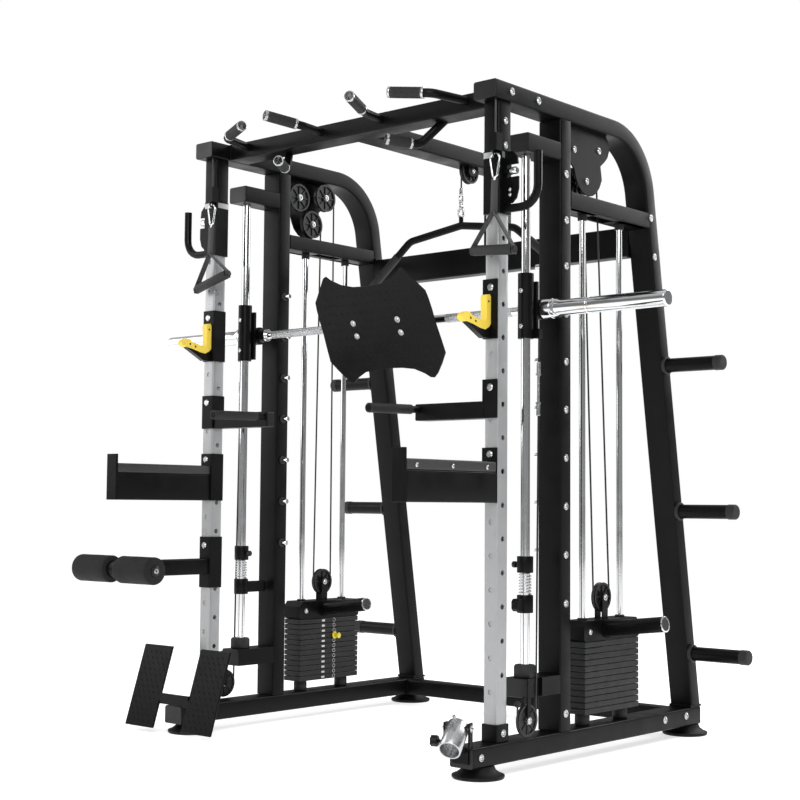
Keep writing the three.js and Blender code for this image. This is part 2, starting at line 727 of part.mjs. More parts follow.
placePair('low_pulley', IRON,
  pulley(LOW_PULLEY.r, LOW_PULLEY.r - 5.5, 6.4, 5.5, LOW_PULLEY.x, LOW_PULLEY.y, LOW_PULLEY.z));
place('lat_pulley', IRON, pulley(LAT_PULLEY.r, 40, 5.4, 9, 0, LAT_PULLEY.y, LAT_PULLEY.z));
place('lat_bar', BLACK, latBar());
place('trolley_right', BLACK, trolley(CX + HOOK.dx));
place('trolley_left', BLACK, mirror(trolley(CX - HOOK.dx)));
placePair('pop_pin', BLACK, popPin());
place('d_handle_right', RUBBER, dHandle(CX + HOOK.dx, [573, -32, 1552], [742, -32, 1540]));
place('d_handle_left', RUBBER,
  mirror(dHandle(CX - HOOK.dx, [671, -32, 1539], [494, -32, 1585])));
placePair('j_hook', YELLOW, jHook());
placePair('spotter_arm', BLACK, spotterArm());
placePair('dip_handle', BLACK, dipHandle());
place('leg_roller_arm', BLACK, mirror(legRollerArm()));
place('foam_roller', RUBBER, mirror(foamRoller()));
place('row_footplate', BLACK, mirror(rowFootplate()));
place('landmine_yoke', BLACK, landmineYoke());
place('landmine_tube', CHROME, landmineTube());
placePair('stack_cable', CABLE, stackCable());
placePair('low_cable', CABLE, lowCable());
place('front_cable_right', CABLE, frontCable(CX + HOOK.dx));
place('front_cable_left', CABLE, mirror(frontCable(CX - HOOK.dx)));

export default group;
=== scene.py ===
import math

import bmesh
import bpy
from mathutils import Matrix, Quaternion, Vector


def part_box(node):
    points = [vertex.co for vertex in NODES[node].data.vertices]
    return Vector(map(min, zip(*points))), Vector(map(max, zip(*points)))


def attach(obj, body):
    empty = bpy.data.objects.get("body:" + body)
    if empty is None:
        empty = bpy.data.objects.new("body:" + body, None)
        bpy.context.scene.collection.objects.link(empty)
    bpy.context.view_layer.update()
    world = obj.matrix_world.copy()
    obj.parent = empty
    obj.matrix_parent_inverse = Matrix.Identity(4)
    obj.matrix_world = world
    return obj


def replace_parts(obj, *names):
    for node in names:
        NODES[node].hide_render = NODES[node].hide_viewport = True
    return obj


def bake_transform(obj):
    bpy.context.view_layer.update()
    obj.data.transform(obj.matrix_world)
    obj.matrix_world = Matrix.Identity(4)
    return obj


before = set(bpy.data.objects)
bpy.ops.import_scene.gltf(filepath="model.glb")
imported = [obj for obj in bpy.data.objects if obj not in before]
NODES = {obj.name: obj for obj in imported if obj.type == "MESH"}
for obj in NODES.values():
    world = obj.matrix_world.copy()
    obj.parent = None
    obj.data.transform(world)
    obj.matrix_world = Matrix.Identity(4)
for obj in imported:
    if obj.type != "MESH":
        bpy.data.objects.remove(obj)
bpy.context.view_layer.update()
MM = 0.001
SIDES = (("left", -1), ("right", 1))
X, Y, Z = Vector((1, 0, 0)), Vector((0, 1, 0)), Vector((0, 0, 1))

# Places are written in millimetres from the front face of the uprights (y) and the floor (z),
# as in the part's own drawing, and the frame gives where that face is.
_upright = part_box("front_upright_right")
SOCKET_PROUD = 5
FACE_Y = _upright[0][1] / MM + SOCKET_PROUD
CX = (_upright[0][0] + _upright[1][0]) / 2 / MM
TUBE = 43
SPAN = CX - TUBE
ARCH_Y, ARCH_Z, ARCH_R, LEAN = 614, 1821, 242, 9.37
ROD_Y = 172
BAR_Y, BAR_Z = 228, 1395
BAR_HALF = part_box("smith_bar")[1][0] / MM
PLATE_TILT = 25
STACK_Y = (434, 748)
STACK_Z0, STACK_PITCH, STACK_COUNT = 133, 19, 12
HOOK_DX, HOOK_Y = 28, -23
HOLE_Z, HOLE_PITCH = 239.6, 100
PEG_PITCH = 150.3
STACK_HALF = 41
GUIDE_YS = (479, 697)
SELECTOR_Y = 615
TOP_PULLEYS = {"front": (408, 1931), "rear": (549, 1951), "low": (479, 1839)}
STACK_PULLEY = (588, 495)
LOW_PULLEY_X, LOW_PULLEY = 666, (131, 149)
TOP_PULLEY_R, STACK_PULLEY_R, LOW_PULLEY_R = 52, 47.5, 48
GROOVE, CABLE_R = 4.7, 3
ROLLER = (-CX, -385, 567)
LANDMINE_Y = -150


def at(x, y, z):
    """A place in the drawing's millimetres as a point in the frame."""
    return Vector((x, y + FACE_Y, z)) * MM


# ---------------------------------------------------------------- materials

def _mix_colour(nodes, links, factor, dark, light):
    mix = nodes.new("ShaderNodeMix")
    mix.data_type = "RGBA"
    mix.inputs["A"].default_value = (*dark, 1)
    mix.inputs["B"].default_value = (*light, 1)
    links.new(factor, mix.inputs["Factor"])
    return mix.outputs["Result"]


def material(name, colour, rough, metal=0.0, mottle=0.12, mottle_scale=14.0, grain=0.0,
             grain_scale=700.0, rough_spread=0.08, coat=0.0, sheen=0.0, stretch=(1, 1, 1),
             pattern=None, shine=0.5):
    """Principled surface whose colour, gloss and fine relief all vary over the piece."""
    mat = bpy.data.materials.new(name)
    mat.use_nodes = True
    nodes, links = mat.node_tree.nodes, mat.node_tree.links
    shader = nodes["Principled BSDF"]
    place = nodes.new("ShaderNodeTexCoord")
    mapping = nodes.new("ShaderNodeMapping")
    mapping.inputs["Scale"].default_value = stretch
    links.new(place.outputs["Object"], mapping.inputs["Vector"])
    cloud = nodes.new("ShaderNodeTexNoise")
    cloud.inputs["Scale"].default_value = mottle_scale
    cloud.inputs["Detail"].default_value = 6
    links.new(mapping.outputs["Vector"], cloud.inputs["Vector"])
    dark = [c * (1 - mottle) for c in colour]
    light = [min(1, c * (1 + mottle)) for c in colour]
    links.new(_mix_colour(nodes, links, cloud.outputs["Fac"], dark, light),
              shader.inputs["Base Color"])
    gloss = nodes.new("ShaderNodeMapRange")
    ends = {"From Min": 0.3, "From Max": 0.7, "To Min": max(0.02, rough - rough_spread),
            "To Max": rough + rough_spread}
    for socket, value in ends.items():
        gloss.inputs[socket].default_value = value
    links.new(cloud.outputs["Fac"], gloss.inputs["Value"])
    links.new(gloss.outputs["Result"], shader.inputs["Roughness"])
    shader.inputs["Metallic"].default_value = metal
    shader.inputs["Coat Weight"].default_value = coat
    shader.inputs["Sheen Weight"].default_value = sheen
    shader.inputs["Specular IOR Level"].default_value = shine
    if grain:
        bump = nodes.new("ShaderNodeBump")
        bump.inputs["Strength"].default_value = grain
        bump.inputs["Distance"].default_value = 0.0006
        links.new(_relief(nodes, links, mapping, pattern, grain_scale), bump.inputs["Height"])
        links.new(bump.outputs["Normal"], shader.inputs["Normal"])
    return mat


def _relief(nodes, links, mapping, pattern, scale):
    """Height field: plain grain, foam cells, or the crossed lines of knurling and webbing."""
    if pattern == "cells":
        cells = nodes.new("ShaderNodeTexVoronoi")
        cells.inputs["Scale"].default_value = scale
        links.new(mapping.outputs["Vector"], cells.inputs["Vector"])
        return cells.outputs["Distance"]
    if pattern == "crossed":
        waves = []
        for turn in (45, -45):
            lean = nodes.new("ShaderNodeMapping")
            lean.inputs["Rotation"].default_value = (math.radians(turn),) * 3
            links.new(mapping.outputs["Vector"], lean.inputs["Vector"])
            wave = nodes.new("ShaderNodeTexWave")
            wave.inputs["Scale"].default_value = scale
            links.new(lean.outputs["Vector"], wave.inputs["Vector"])
            waves.append(wave.outputs["Fac"])
        both = nodes.new("ShaderNodeMath")
        both.operation = "MULTIPLY"
        links.new(waves[0], both.inputs[0])
        links.new(waves[1], both.inputs[1])
        return both.outputs["Value"]
    grain = nodes.new("ShaderNodeTexNoise")
    grain.inputs["Scale"].default_value = scale
    grain.inputs["Detail"].default_value = 3
    links.new(mapping.outputs["Vector"], grain.inputs["Vector"])
    return grain.outputs["Fac"]


BLACK = material("powder_coat_black", (0.003, 0.003, 0.0032), 0.36, grain=0.22,
                 grain_scale=900, shine=0.13)
SILVER = material("powder_coat_silver", (0.4, 0.405, 0.41), 0.34, metal=0.5, mottle=0.04,
                  grain=0.12, grain_scale=1100)
CHROME = material("chrome", (0.78, 0.79, 0.8), 0.1, metal=1.0, mottle=0.03, rough_spread=0.04)
KNURL = material("knurled_chrome", (0.62, 0.63, 0.64), 0.24, metal=1.0, mottle=0.05, grain=0.9,
                 grain_scale=420, pattern="crossed")
STEEL = material("zinc_bolt", (0.55, 0.56, 0.57), 0.27, metal=1.0, mottle=0.08, mottle_scale=60)
RUBBER = material("grip_rubber", (0.016, 0.016, 0.017), 0.6, grain=0.5, grain_scale=500, shine=0.4)
FOOT_RUBBER = material("foot_rubber", (0.006, 0.006, 0.006), 0.55, grain=0.3, grain_scale=300,
                       shine=0.2)
FOAM = material("foam", (0.011, 0.011, 0.012), 0.8, mottle=0.2, grain=0.8, grain_scale=620,
                pattern="cells", shine=0.3)
PLASTIC = material("pulley_nylon", (0.009, 0.009, 0.0095), 0.38, grain=0.12, grain_scale=400,
                   shine=0.35)
LINER = material("yellow_liner", (0.86, 0.63, 0.07), 0.5, mottle=0.08, grain=0.2, grain_scale=300)
YELLOW = material("yellow_knob", (0.78, 0.62, 0.03), 0.35, mottle=0.06, coat=0.3)
BLACK_LINER = material("black_liner", (0.026, 0.026, 0.027), 0.5, grain=0.3, grain_scale=260)
IRON = material("stack_plate", (0.014, 0.014, 0.0145), 0.5, mottle=0.25, mottle_scale=30, shine=0.3,
                grain=0.5, grain_scale=420)
CABLE = material("cable_cover", (0.012, 0.012, 0.012), 0.3, grain=0.1, grain_scale=500)
WEB = material("nylon_web", (0.015, 0.015, 0.016), 0.75, grain=0.9, grain_scale=260,
               pattern="crossed", sheen=0.3)
LABEL = material("blank_label", (0.6, 0.6, 0.6), 0.35, metal=0.3, mottle=0.1, mottle_scale=120)
# Painted shade: a near-black surface laid where a slot, hole or recess would be, standing in for
# the shade inside it.
HOLE_SHADE = material("painted_hole_shade", (0.006, 0.006, 0.006), 0.8, grain=0.2)


# ---------------------------------------------------------------- shapes

def circle(r, n=20):
    return [(r * math.cos(2 * math.pi * k / n), r * math.sin(2 * math.pi * k / n))
            for k in range(n)]


def rounded_rect(w, h, r, n=4):
    """Outline of a tube section, w across and h the other way."""
    points = []
    for cx, cy, a0 in ((1, 1, 0), (-1, 1, 90), (-1, -1, 180), (1, -1, 270)):
        for k in range(n + 1):
            a = math.radians(a0 + 90 * k / n)
            points.append((cx * (w / 2 - r) + r * math.cos(a), cy * (h / 2 - r) + r * math.sin(a)))
    return points


def rounded_path(points, radius, steps=8):
    """The run of points with its corners turned into arcs."""
    stops = [points[0]]
    for before, here, after in zip(points, points[1:], points[2:]):
        into, out = (here - before).normalized(), (after - here).normalized()
        half = into.angle(out) / 2
        start = here - into * radius * math.tan(half)
        centre = here + (out - into).normalized() * radius / math.cos(half)
        hinge = into.cross(out).normalized()
        for k in range(steps + 1):
            turn = Quaternion(hinge, 2 * half * k / steps)
            stops.append(centre + turn @ (start - centre))
    return stops + [points[-1]]


class Shape:
    """Faces gathered in the drawing's millimetres and turned into one object."""

    def __init__(self):
        self.verts = []
        self.faces = []

    def add(self, verts, faces, spin=None, move=None):
        base = len(self.verts)
        for v in verts:
            v = Vector(v)
            if spin is not None:
                v = spin @ v
            if move is not None:
                v = v + Vector(move)
            self.verts.append(v)
        self.faces += [[base + i for i in face] for face in faces]
        return self

    def box(self, xs, ys, zs, spin=None, move=None):
        verts = [(x, y, z) for x in xs for y in ys for z in zs]
        faces = [(0, 1, 3, 2), (4, 6, 7, 5), (0, 4, 5, 1), (2, 3, 7, 6), (0, 2, 6, 4), (1, 5, 7, 3)]
        return self.add(verts, faces, spin, move)

    def prism(self, axis, outline, lo, hi, spin=None, move=None):
        """An outline pushed along an axis: (y, z) for x, (x, z) for y and (x, y) for z."""
        order = {"x": lambda a, b, d: (d, a, b), "y": lambda a, b, d: (a, d, b),
                 "z": lambda a, b, d: (a, b, d)}[axis]
        n = len(outline)
        verts = [order(a, b, d) for d in (lo, hi) for a, b in outline]
        sides = [(k, (k + 1) % n, n + (k + 1) % n, n + k) for k in range(n)]
        return self.add(verts, [list(range(n))[::-1], list(range(n, 2 * n))] + sides, spin, move)

    def lathe(self, profile, base, direction, n=40, closed=False):
        """A profile of (radius, height) pairs turned about a line through base."""
        spin = Z.rotation_difference(Vector(direction)).to_matrix()
        rings = []
        verts = []
        for r, h in profile:
            if r == 0:
                rings.append([len(verts)])
                verts.append((0, 0, h))
            else:
                rings.append(list(range(len(verts), len(verts) + n)))
                verts += [(a, b, h) for a, b in circle(r, n)]
        faces = []
        pairs = list(zip(rings, rings[1:]))
        if closed:
            pairs.append((rings[-1], rings[0]))
        for low, high in pairs:
            for k in range(n):
                face = [low[k % len(low)], low[(k + 1) % len(low)],
                        high[(k + 1) % len(high)], high[k % len(high)]]
                face = list(dict.fromkeys(face))
                if len(face) > 2:
                    faces.append(face)
        return self.add(verts, faces, spin, base)

    def ring(self, inner, outer, lo, hi, base, direction, n=40):
        """A sleeve, or a disc where the inner radius is nought."""
        profile = [(inner, lo), (outer, lo), (outer, hi), (inner, hi)]
        return self.lathe(profile, base, direction, n, closed=True)

    def rod(self, start, end, r, n=32, chamfer=1.0):
        start, end = Vector(start), Vector(end)
        length = (end - start).length
        c = min(chamfer, r / 3, length / 3)
        profile = [(0, 0), (r - c, 0), (r, c), (r, length - c), (r - c, length), (0, length)]
        return self.lathe(profile, start, end - start, n)

    def sweep(self, path, section, up=Z, closed=False):
        """A section carried along a path without twisting."""
        path = [Vector(p) for p in path]
        count, n = len(path), len(section)
        tangents = []
        for k in range(count):
            before = path[k - 1] if closed or k else path[k]
            after = path[(k + 1) % count] if closed or k < count - 1 else path[k]
            tangents.append((after - before).normalized())
        side = tangents[0].cross(Vector(up))
        if side.length < 1e-6:
            side = tangents[0].cross(X)
        side.normalize()
        verts = []
        for k, tangent in enumerate(tangents):
            if k:
                side = tangents[k - 1].rotation_difference(tangent) @ side
            lift = side.cross(tangent)
            verts += [path[k] + side * a + lift * b for a, b in section]
        faces = []
        for k in range(count if closed else count - 1):
            m = (k + 1) % count
            for j in range(n):
                i = (j + 1) % n
                faces.append([k * n + j, k * n + i, m * n + i, m * n + j])
        if not closed:
            faces += [list(range(n))[::-1], [(count - 1) * n + j for j in range(n)]]
        return self.add(verts, faces)

    def make(self, name, mat, body="frame", bevel=0.0, segments=2, smooth=38):
        mesh = bpy.data.meshes.new(name)
        mesh.from_pydata([at(*v) for v in self.verts], [], self.faces)
        mesh.validate()
        mesh.materials.append(mat)
        obj = bpy.data.objects.new(name, mesh)
        bpy.context.scene.collection.objects.link(obj)
        tidy_normals(mesh)
        finish_edges(obj, bevel, segments, smooth)
        if body:
            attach(obj, body)
        return obj


def tidy_normals(mesh):
    bm = bmesh.new()
    bm.from_mesh(mesh)
    bmesh.ops.recalc_face_normals(bm, faces=bm.faces)
    bm.to_mesh(mesh)
    bm.free()


def bevel_edges(obj, width, segments, angle, harden):
    mod = obj.modifiers.new("edge", "BEVEL")
    mod.width = width * MM
    mod.segments = segments
    mod.limit_method = "ANGLE"
    mod.angle_limit = math.radians(angle)
    mod.harden_normals = harden


def finish_edges(obj, bevel, segments=2, smooth=38):
    """Rounds the sharp edges and shades the rest smooth."""
    mesh = obj.data
    mesh.polygons.foreach_set("use_smooth", [True] * len(mesh.polygons))
    mesh.set_sharp_from_angle(angle=math.radians(smooth))
    if bevel:
        bevel_edges(obj, bevel, segments, smooth, True)


def keep(name, mat, bevel=1.2, smooth=38):
    """A CAD node that stays, with its surface and rounded edges."""
    obj = NODES[name]
    for slot in obj.material_slots:
        slot.material = mat
    bevel_edges(obj, bevel, 2, smooth, False)
    shade = obj.modifiers.new("shade", "WEIGHTED_NORMAL")
    shade.keep_sharp = True
    return obj


def bolts(name, places, direction, r=9, body="frame", mat=None, height=6):
    """Domed hex-socket bolt heads on washers."""
    shape = Shape()
    direction = Vector(direction)
    for place in places:
        place = Vector(place)
        shape.lathe([(0, 0), (r * 1.35, 0), (r * 1.35, 1.6), (r, 2), (r * 0.93, height * 0.6),
                     (r * 0.62, height), (r * 0.42, height), (r * 0.4, height - 3),
                     (0, height - 3)], place, direction, 24)
    return shape.make(name, mat or STEEL, body, 0)


def end_cap(name, centre, w, h, axis, body="frame"):
    """A plastic plug in the end of a tube."""
    x, y, z = centre
    shape = Shape()
    section = rounded_rect(w, h, 6)
    if axis == "y":
        shape.prism("y", [(x + a, z + b) for a, b in section], y - 1.5, y + 1.5)
    else:
        shape.prism("x", [(y + a, z + b) for a, b in section], x - 1.5, x + 1.5)
    return shape.make(name, PLASTIC, body, 1.2)


def slot_tube(shape, axis, centre, size, lo, hi, r=6):
    """A rounded tube along an axis: centre and size across it, lo and hi along it."""
    outline = [(centre[0] + a, centre[1] + b) for a, b in rounded_rect(*size, r)]
    return shape.prism(axis, outline, lo, hi)


# ---------------------------------------------------------------- steel frame

def floor_beam(side, s, x):
    profile = [(0, 0), (74, 0), (77.5, 4), (77.5, 10), (66, 14), (52, 24), (47, 36), (0, 36)]
    beam = slot_tube(Shape(), "y", (x, 66), (86, 60), -133, 1144)
    if s > 0:
        beam.prism("z", [(CX - 25, -134), (CX - 20, -146), (CX - 17, -158), (CX - 8, -167),
                         (CX + 8, -167), (CX + 17, -158), (CX + 19, -146), (CX + 25, -134)],
                   82, 96)
        beam.box((CX - 30, CX + 30), (-141, -134), (50, 96))
    obj = beam.make(f"floor_beam_{side}_tube", BLACK, bevel=1)
    feet = Shape()
    for y in (-55, 1110):
        feet.lathe(profile, (x, y, 0), Z, 64)
    feet.make(f"feet_{side}", FOOT_RUBBER, bevel=1)
    end_cap(f"floor_beam_{side}_cap_front", (x, -133.5, 66), 84, 58, "y")
    bolts(f"floor_beam_{side}_side_bolt", [(x + TUBE, -96, 66)], X, 8)
    end_cap(f"floor_beam_{side}_cap_rear", (x, 1144.5, 66), 84, 58, "y")
    bolts(f"floor_beam_{side}_bolts", [(s * (CX + TUBE), y, 72) for y in (909, 1047)],
          (s, 0, 0), 9)
    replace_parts(obj, f"floor_beam_{side}")


def landmine_pivot_pin():
    pin = Shape().rod((CX, LANDMINE_Y, 90), (CX, LANDMINE_Y, 102), 8)
    pin.rod((CX, LANDMINE_Y, 101.3), (CX, LANDMINE_Y, 102.8), 10.5)
    pin.make("landmine_pivot_pin", STEEL)


def boolean_cut(obj, cutter):
    mod = obj.modifiers.new("cut", "BOOLEAN")
    mod.object = cutter
    mod.operation = "DIFFERENCE"
    mod.solver = "EXACT"
    bpy.context.view_layer.update()
    graph = bpy.context.evaluated_depsgraph_get()
    cut = bpy.data.meshes.new_from_object(obj.evaluated_get(graph))
    obj.modifiers.clear()
    obj.data = cut
    bpy.data.objects.remove(cutter)


def upright(side, s, x):
    tube = slot_tube(Shape(), "z", (x, 25), (50, 50), 97, 2006, 5)
    obj = tube.make(f"upright_{side}_tube", SILVER, None)
    holes = slot_tube(Shape(), "z", (x, 25), (44, 44), 90, 2020, 3)
    for k in range(17):
        holes.rod((x, -4, HOLE_Z + HOLE_PITCH * k), (x, 54, HOLE_Z + HOLE_PITCH * k), 8, 24, 0.01)
    hollow = holes.make("cutter", SILVER, None)
    boolean_cut(obj, hollow)
    cross = Shape()
    for k in range(16):
        z = HOLE_Z + HOLE_PITCH / 2 + HOLE_PITCH * k
        cross.rod((x - 30, 25, z), (x + 30, 25, z), 8, 24, 0.01)
    boolean_cut(obj, cross.make("cutter", SILVER, None))
    finish_edges(obj, 0)
    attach(obj, "frame")
    sockets = Shape()
    slot_tube(sockets, "z", (x, 25), (60, 60), 96.4, 147, 6)
    slot_tube(sockets, "z", (x, 25), (60, 60), 1855, 2006.6, 6)
    sockets.make(f"upright_{side}_sockets", BLACK, bevel=1)
    bolts(f"upright_{side}_bolts", [(x + s * 30, 25, z) for z in (1872, 1947, 122)],
          (s, 0, 0), 8)
    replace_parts(obj, f"front_upright_{side}")


def post_and_links(side, s, x):
    post = slot_tube(Shape(), "z", (x, 326), (86, 58), 96.4, 2006.6)
    slot_tube(post, "y", (x, 1902), (86, 58), 127, 299)
    notch = [(-43, 127), (43, 127), (43, 158), (30, 158), (30, 202), (43, 202), (43, 299),
             (-43, 299)]
    post.prism("z", [(x + s * a, b) for a, b in notch], 214, 271)
    px = s * LOW_PULLEY_X
    for inner, outer, top in ((-11, -7, 220), (6, 10, 263)):
        post.prism("x", [(123, top), (139, top), (139, 146), (135, 140), (127, 140), (123, 146)],
                   *sorted((px + s * inner, px + s * outer)))
    obj = post.make(f"post_{side}_tubes", BLACK, bevel=1.4)
    end_cap(f"post_{side}_link_cap_top", (x, 126.5, 1902), 84, 56, "y")
    end_cap(f"post_{side}_link_cap_low", (x, 126.5, 242.5), 84, 55, "y")
    pegs, washers = Shape(), Shape()
    inner = s * (CX - TUBE)
    for k in range(7):
        z = 645.3 + PEG_PITCH * k
        washers.rod((inner, 326, z), (inner - s * 6, 326, z), 15, 32)
        pegs.rod((inner, 326, z), (inner - s * 30, 326, z), 9, 28, 2)
    washers.make(f"post_{side}_peg_washers", RUBBER, bevel=0)
    pegs.make(f"post_{side}_pegs", CHROME)
    outer = s * (CX + TUBE)
    heights = [151] + [487.3 + PEG_PITCH * k for k in range(7)] + [1540, 1686, 1833]
    bolts(f"post_{side}_bolts", [(outer, 326, z) for z in heights], (s, 0, 0), 9)
    bolts(f"low_pulley_axle_{side}", [(px + s * 10, *LOW_PULLEY)], (s, 0, 0), 8)
    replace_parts(obj, f"middle_post_{side}")


def leg_y(z):
    """Depth of the rear leg's centre line at a height."""
    a = math.radians(LEAN)
    r = ARCH_R - 28
    return ARCH_Y + r * math.cos(a) + math.tan(a) * (ARCH_Z + r * math.sin(a) - z)


def arch(side, s, x):
    r = ARCH_R - 28
    plate = [(383, 2008), (383, 1891), (410, 1866), (416, 1846), (430, 1820), (452, 1801),
             (472, 1794), (494, 1792), (517, 1797), (537, 1809), (556, 1831), (569, 1857),
             (561, 1902), (585, 1920), (602, 1937), (612, 1960), (616, 1982), (592, 2008)]
    path = [Vector((x, -38, 2035)), Vector((x, 200, 2035))]
    for k in range(25):
        a = math.radians(90 - (90 - LEAN) * k / 24)
        path.append(Vector((x, ARCH_Y + r * math.cos(a), ARCH_Z + r * math.sin(a))))
    path.append(Vector((x, leg_y(102), 102)))
    body = Shape().sweep(path, rounded_rect(86, 56, 6, 4))
    body.box((x - 43, x + 43), (leg_y(100) - 36, leg_y(100) + 34), (96.4, 104))
    obj = body.make(f"arch_{side}_tube", BLACK, bevel=1)
    rail = Shape()
    slot_tube(rail, "y", (s * 656.5, 1757), (30, 52), 355.5, 822, 4)
    slot_tube(rail, "y", (s * 590.8, 1757), (10, 52), 355.5, 822, 2)
    slot_tube(rail, "y", (x, 1757), (86, 52), 643, 822, 4)
    slot_tube(rail, "y", (x, 1757), (86, 52), 355.5, 515, 4)
    rail.make(f"arch_{side}_rail", BLACK, bevel=1)
    hanger = Shape().prism("x", plate, *sorted((s * 641, s * 646)))
    hanger.make(f"arch_{side}_pulley_plate", BLACK, bevel=1.5)
    axles = Shape()
    for y, z in TOP_PULLEYS.values():
        axles.rod((s * 641, y, z), (s * 610, y, z), 10)
        axles.rod((s * 641, y, z), (s * 588, y, z), 6)
    axles.make(f"arch_{side}_pulley_axles", STEEL)
    bolts(f"arch_{side}_axle_heads", [(s * 646, *p) for p in TOP_PULLEYS.values()], (s, 0, 0), 8)
    bolts(f"arch_{side}_axle_nuts", [(s * 590, *p) for p in TOP_PULLEYS.values()], (-s, 0, 0), 8)
    end_cap(f"arch_{side}_cap", (x, -38.5, 2035), 84, 54, "y")
    outer = s * (CX + TUBE)
    heads = [(outer, y, z) for y, z in ((40, 2037), (176, 2037), (828, 1767), (851, 1636))]
    bolts(f"arch_{side}_bolts", heads, (s, 0, 0), 9)
    for k, z in enumerate((1270, 772, 282)):
        y = leg_y(z)
        peg = Shape().ring(0, 24, 0, 196, (outer, y, z), (s, 0, 0), 48)
        peg.make(f"storage_peg_{side}_{k}", BLACK, bevel=1)
        rub = Shape().lathe([(24.4, 0), (31, 0), (31, 9), (28, 11), (24.4, 11)],
                            (outer, y, z), (s, 0, 0), 48, closed=True)
        rub.lathe([(0, 192), (25.5, 192), (25.5, 218), (22, 222), (0, 222)],
                  (outer, y, z), (s, 0, 0), 48)
        rub.make(f"storage_peg_{side}_{k}_rubber", RUBBER, bevel=0.8)
    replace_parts(obj, f"side_arch_{side}")


def grip(name, points, s):
    """A pull-up bar end: steel rod, rubber grip, chrome ring and cap."""
    points = [Vector((s * x, y, z)) for x, y, z in points]
    Shape().sweep(rounded_path(points, 34), circle(14, 24)).make(f"{name}_rod", BLACK)
    along = (points[-1] - points[-2]).normalized()
    start = points[-2] + along * 26
    length = (points[-1] - start).length
    rubber = [(14.2, 8), (17, 8), (17.8, 10)]
    steps = int((length - 24) // 4)
    for k in range(steps):
        h = 12 + 4 * k
        rubber += [(17.8, h), (17.8, h + 2.4), (17, h + 2.9), (17, h + 3.5)]
    rubber += [(17.8, length - 10), (14.2, length - 8)]
    Shape().lathe(rubber, start, along, 36, closed=True).make(f"{name}_rubber", RUBBER)
    metal = Shape().lathe([(14.2, 0), (17.6, 0), (18, 1), (18, 7), (17.6, 8), (14.2, 8)], start,
                          along, 40, closed=True)
    metal.lathe([(0, length - 9), (17.6, length - 9), (18, length - 8), (18, length - 2),
                 (16, length), (0, length)], start, along, 40)
    metal.make(f"{name}_ends", STEEL, bevel=0.5)


def top_frame():
    body = Shape()
    slot_tube(body, "x", (90, 2035), (90, 56), -SPAN + 1, SPAN - 1)
    slot_tube(body, "y", (0, 2035), (90, 56), 130, 877)
    slot_tube(body, "z", (0, 850.5), (90, 55), 1700, 2012)
    slot_tube(body, "x", (850.5, 1696), (55, 102), -SPAN + 1, SPAN - 1)
    for s in (-1, 1):
        body.box(sorted((s * SPAN, s * (SPAN - 7))), (822, 879), (1640, 1752))
        body.box(sorted((s * SPAN, s * (SPAN - 7))), (42, 138), (2007.5, 2062.5))
        body.prism("x", [(655, 2008), (703, 2008), (703, 1985), (692, 1974), (666, 1974),
                         (655, 1985)], *sorted((s * 14, s * 19)))
    obj = body.make("top_frame_tubes", BLACK, bevel=1.2)
    bolts("lat_pulley_axle_heads", [(19, 679, 1995)], (1, 0, 0), 7)
    bolts("lat_pulley_axle_nuts", [(-19, 679, 1995)], (-1, 0, 0), 7)
    bolts("centre_beam_bolts", [(x, 877.6, z) for x in (-24, 24) for z in (1668, 1724)],
          (0, 1, 0), 9)
    for side, s in SIDES:
        grip(f"pull_up_outer_{side}", [(500, 90, 2040), (462, -85, 2043), (328, -137, 2057)], s)
        grip(f"pull_up_inner_{side}", [(134, 90, 2036), (139, -35, 2045), (190, -166, 2064)], s)
        grip(f"pull_up_low_{side}", [(352, 112, 2015), (300, 50, 1932), (242, -49, 1941)], s)
    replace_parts(obj, "top_frame")
    low = slot_tube(Shape(), "x", (1064, 65), (58, 58), -SPAN + 1, SPAN - 1)
    for s in (-1, 1):
        low.box(sorted((s * SPAN, s * (SPAN - 7))), (1032, 1096), (37, 95))
    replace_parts(low.make("rear_lower_tube", BLACK, bevel=1.2), "rear_lower_crossbeam")


# ---------------------------------------------------------------- guided bar

def smith_rod(side, s, x):
    rod = Shape().rod((x, ROD_Y, 271.5), (x, ROD_Y, 1872.5), 14, 48)
    obj = rod.make(f"smith_rod_{side}_shaft", CHROME)
    cup = Shape().lathe([(14.3, 271.5), (32, 271.5), (33.5, 274), (33.5, 303), (30, 309),
                         (19, 309), (17, 305), (14.3, 305)], (x, ROD_Y, 0), Z, 48, closed=True)
    cup.make(f"smith_rod_{side}_bumper", RUBBER, bevel=1)
    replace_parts(obj, f"smith_rod_{side}")


